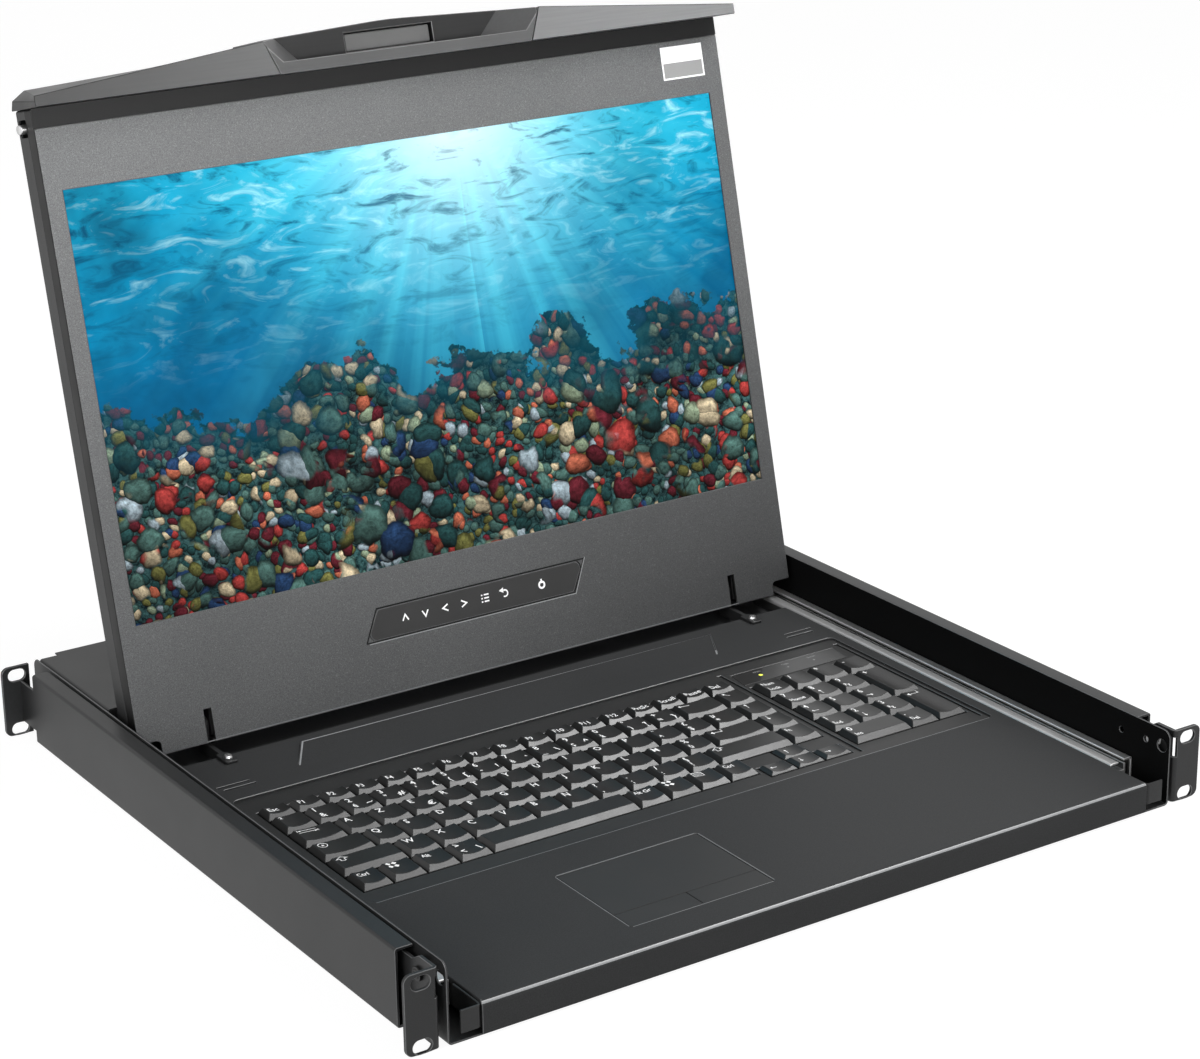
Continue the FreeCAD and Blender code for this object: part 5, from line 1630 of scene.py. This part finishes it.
@dataclass
class Lid:
    """Bezel, rear shell, menu strip, badge, display and hinges."""

    screen_wide: float = 409.8
    screen_high: float = 230.4
    screen_mid: float = 176.8
    strip_up: Point2 = (22.8, 39.8)
    strip_x: Tuple[Point2, Point2] = ((-72.0, -63.0), (64.0, 73.0))
    joint_away: float = 0.55
    line_away: float = 1.25
    rim_half: float = 176.0
    foot: float = -8.3
    joint: float = 0.9
    rim: float = 0.5
    foot_rim: float = 0.6
    icons_up: float = 31.6
    icon: float = 5.0
    stroke: float = 0.85
    ways: Sequence[Tuple[float, Point2]] = ((-46.4, (0, 1)), (-33.6, (0, -1)), (-20.4, (-1, 0)),
                                            (-8.6, (1, 0)))
    list_rows: Sequence[float] = (-1.9, 0.0, 1.9)
    list_dashes: Sequence[Point2] = ((3.0, 4.0), (4.9, 8.0))
    back_x: float = 18.6
    power_x: float = 43.4
    badge: Span4 = (174.2, 203.4, 302.6, 321.6)
    screw_x: Sequence[float] = (-195.0, -65.0, 65.0, 195.0)
    screw_up: Sequence[float] = (14.0, 312.0)
    screw_face: float = -22.05
    head: Point3 = (2.5, 0.5, 0.8)
    hinge_screw: Point3 = (172.9, 301.5, 0.35)
    hinge_head: Point3 = (2.4, 1.1, 0.8)
    hinge_parts: Sequence[Row] = (
        ("hinge_leaves", Finish.CHASSIS, 0.25), ("hinge_knuckles", Finish.RUBBER, 0.2),
        ("hinge_pins", Finish.STEEL, 0.1), ("hinge_screws", Finish.STEEL, 0.0))

    def shells(self) -> None:
        """Dresses the bezel, its upright side faces painted near black as shade, and the rear
        shell.
        """
        def beside(_: Vector, normal: Vector) -> bool:
            """Tells whether a face is one of the bezel's side faces."""
            return abs(normal.x) > 0.6

        softened("lid_bezel", Finish.BEZEL, 0.4, zones=((Finish.STRIP, beside),))
        dress((("lid_back_shell", Finish.SHELL, 0.3), ("bezel_top_strip", Finish.STRIP, 0.2)))
        softened("menu_strip", Finish.MENU, 0.4, rim=Finish.LIT_RIM)

    def display(self) -> None:
        """Gives the display its lit picture, laid out by the display's own width and height."""
        mesh = frame["nodes"]["screen_glass"].data.copy()
        to_lid, places = LID.matrix().inverted(), mesh.uv_layers.new(name="display")
        left, low = -self.screen_wide / 2, self.screen_mid - self.screen_high / 2
        for loop in mesh.loops:
            at = to_lid @ mesh.vertices[loop.vertex_index].co
            places.data[loop.index].uv = ((at.x - left) / self.screen_high,
                                          (at.y - low) / self.screen_high)
        glass = Part("lit_display", mesh).finish(Finish.PICTURE)
        glass.ride("lid", slot_of("screen_glass"), "screen_glass")
        dress((("screen_module", Finish.RUBBER, 0.0), ("driver_board", Finish.BOARD, 0.0)))

    def menu(self) -> None:
        """Prints the strip's marks: four ways, list, back and power."""
        ink = Print("menu_marks", self.face_of("menu_strip"), 0.03)
        up, half, line = self.icons_up, self.icon / 2, self.stroke
        for x, way in self.ways:
            middle, tip = Vector((x, up)), Vector(way)
            side, foot = Vector((-tip.y, tip.x)) * half * 0.75, middle - tip * half * 0.6
            ink.band([tuple(foot + side), tuple(middle + tip * half * 0.75),
                      tuple(foot - side)], line)
        for level in self.list_rows:
            for start, end in self.list_dashes:
                ink.band([(start, up + level), (end, up + level)], line)
        x = self.back_x
        ink.arc((x, up), half * 0.75, line, -120, 110)
        ink.polygon([(x - 3.7, up + 2.0), (x - 0.7, up + 3.5), (x - 0.8, up + 0.4)])
        x = self.power_x
        ink.arc((x, up - 0.4), half * 0.72, 1.15)
        ink.band([(x, up + 0.6), (x, up + 3.0)], 1.05)
        ink.part(Finish.LEGEND, "lid", slot_of("menu_strip"))

    def line(self, name: str, lift: float, points: Sequence[Point2], width: float,
             finish: Finish) -> None:
        """Lays one line on the bezel.

        Args:
            name: the piece's name.
            lift: how far it stands off the bezel.
            points: its middle line.
            width: its width.
            finish: its finish.
        """
        line = Print(name, LID, lift)
        line.band(points, width)
        line.part(finish, "lid", "lid_paint")

    def rims(self) -> None:
        """Lays the joint round the menu strip, painted dark as the shade in its recess, and
        painted highlights along the strip's lower and right edges and the bezel's foot.
        """
        low, high = self.strip_up
        inner, outer = self.strip_x
        away = self.joint_away
        self.line("menu_joint_shade", 0.04, [
            (inner[0] - away, low - away), (outer[0] + away, low - away),
            (outer[1] + away, high + away), (inner[1] - away, high + away),
            (inner[0] - away, low - away)], self.joint, Finish.STRIP)
        away = self.line_away
        self.line("lower_rim_highlights", 0.05, [
            (inner[0] + 1, low - away), (outer[0] + away, low - away),
            (outer[1] + away, high + away)], self.rim, Finish.LIT_EDGE)
        self.line("bezel_foot_highlight", 0.05, [(-self.rim_half, self.foot), (self.rim_half, self.foot)],
                  self.foot_rim, Finish.SOFT_EDGE)

    def face_of(self, node: str) -> Plane:
        """Moves the lid's plane out to a solid's front face.

        Args:
            node: the solid's name.

        Returns:
            The moved plane.
        """
        source = frame["nodes"][node]
        placed = LID.matrix().inverted() @ source.matrix_world
        out = max((placed @ v.co).z for v in source.data.vertices)
        return Plane(tuple(Vector(LID.origin) + LID.out() * out), LID.across, LID.up)

    def label(self) -> None:
        """Prints a bare two-tone block at the upper right corner."""
        left, right, low, high = self.badge
        middle = (low + high) / 2
        light = Print("label_light", LID, 0.05)
        light.block(left, right, middle, high)
        light.band([(left + 0.5, middle), (left + 0.5, low + 0.5), (right - 0.5, low + 0.5),
                    (right - 0.5, middle)], 1.0)
        light.part(Finish.BADGE_LIGHT, "lid", "lid_paint")
        dark = Print("label_dark", LID, 0.04)
        dark.block(left, right, low, middle)
        dark.part(Finish.BADGE_DARK, "lid", "lid_paint")

    def screws(self) -> None:
        """Sets recessed heads on the hinge leaves, and in place of the shell's plain ones."""
        x, y, z = self.hinge_screw
        places = [((side * x, y, z), (0.0, 0.0, 1.0)) for side in (-1, 1)]
        ScrewTree().heads("hinge_screw_heads", places, Finish.STEEL, self.hinge_head).ride(
            "drawer", "screw_steel")
        matrix, facing = LID.matrix(), tuple(-LID.out())
        places = [(tuple(matrix @ Vector((x, up, self.screw_face)) / MM), facing)
                  for x in self.screw_x for up in self.screw_up]
        ScrewTree().heads("rear_screw_heads", places, Finish.BLACK_STEEL, self.head).ride(
            "lid", slot_of("lid_screws"), "lid_screws")

    def build(self) -> None:
        """Builds the lid."""
        self.shells()
        self.display()
        self.menu()
        self.rims()
        self.label()
        dress(self.hinge_parts)
        self.screws()


@dataclass
class Handle:
    """The bar along the lid's top with its finger grip, release bar and latch."""

    plain: Sequence[Row] = (
        ("release_button", Finish.BUTTON, 0.3), ("latch_bolt_left", Finish.STEEL, 0.3),
        ("latch_bolt_right", Finish.STEEL, 0.3), ("latch_guides", Finish.RUBBER, 0.0))

    def build(self) -> None:
        """Dresses the wings, the grip, the release bar, the bolts and their guides."""
        # painted sheen on the wings; their broken edges take the well's near-black finish as
        # painted shade
        for node in ("handle_wing_left", "handle_wing_right"):
            softened(node, Finish.WING, 0.35, 20.0, rim=Finish.WELL)
        out, across, start = LID.out(), Vector(LID.across), Vector(LID.origin) * MM

        def sunk(middle: Vector, normal: Vector) -> bool:
            """Tells whether a face is the well's back wall or lies in the bar's recess."""
            behind = (middle - start).dot(out) < 0
            return behind and (normal.dot(out) > 0.9 or abs(normal.dot(across)) > 0.99)

        # painted shade: the well's back wall and recess faces get a near-black copy of the grip's
        # finish; the lighter rim is a painted highlight
        softened("handle_grip", Finish.GRIP, 0.35, 20.0, ((Finish.WELL, sunk),),
                 Finish.METAL_RIM)
        dress(self.plain)


def main() -> None:
    """Builds the studio and dresses every piece."""
    logging.basicConfig(level=logging.INFO, format="%(name)s: %(message)s")
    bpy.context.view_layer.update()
    Studio().build()
    for group in (Case(), Slides(), Drawer(), Keyboard(), Touchpad(), Lid(), Handle()):
        LOG.info("building %s", type(group).__name__)
        group.build()


if __name__ == "__main__":
    main()
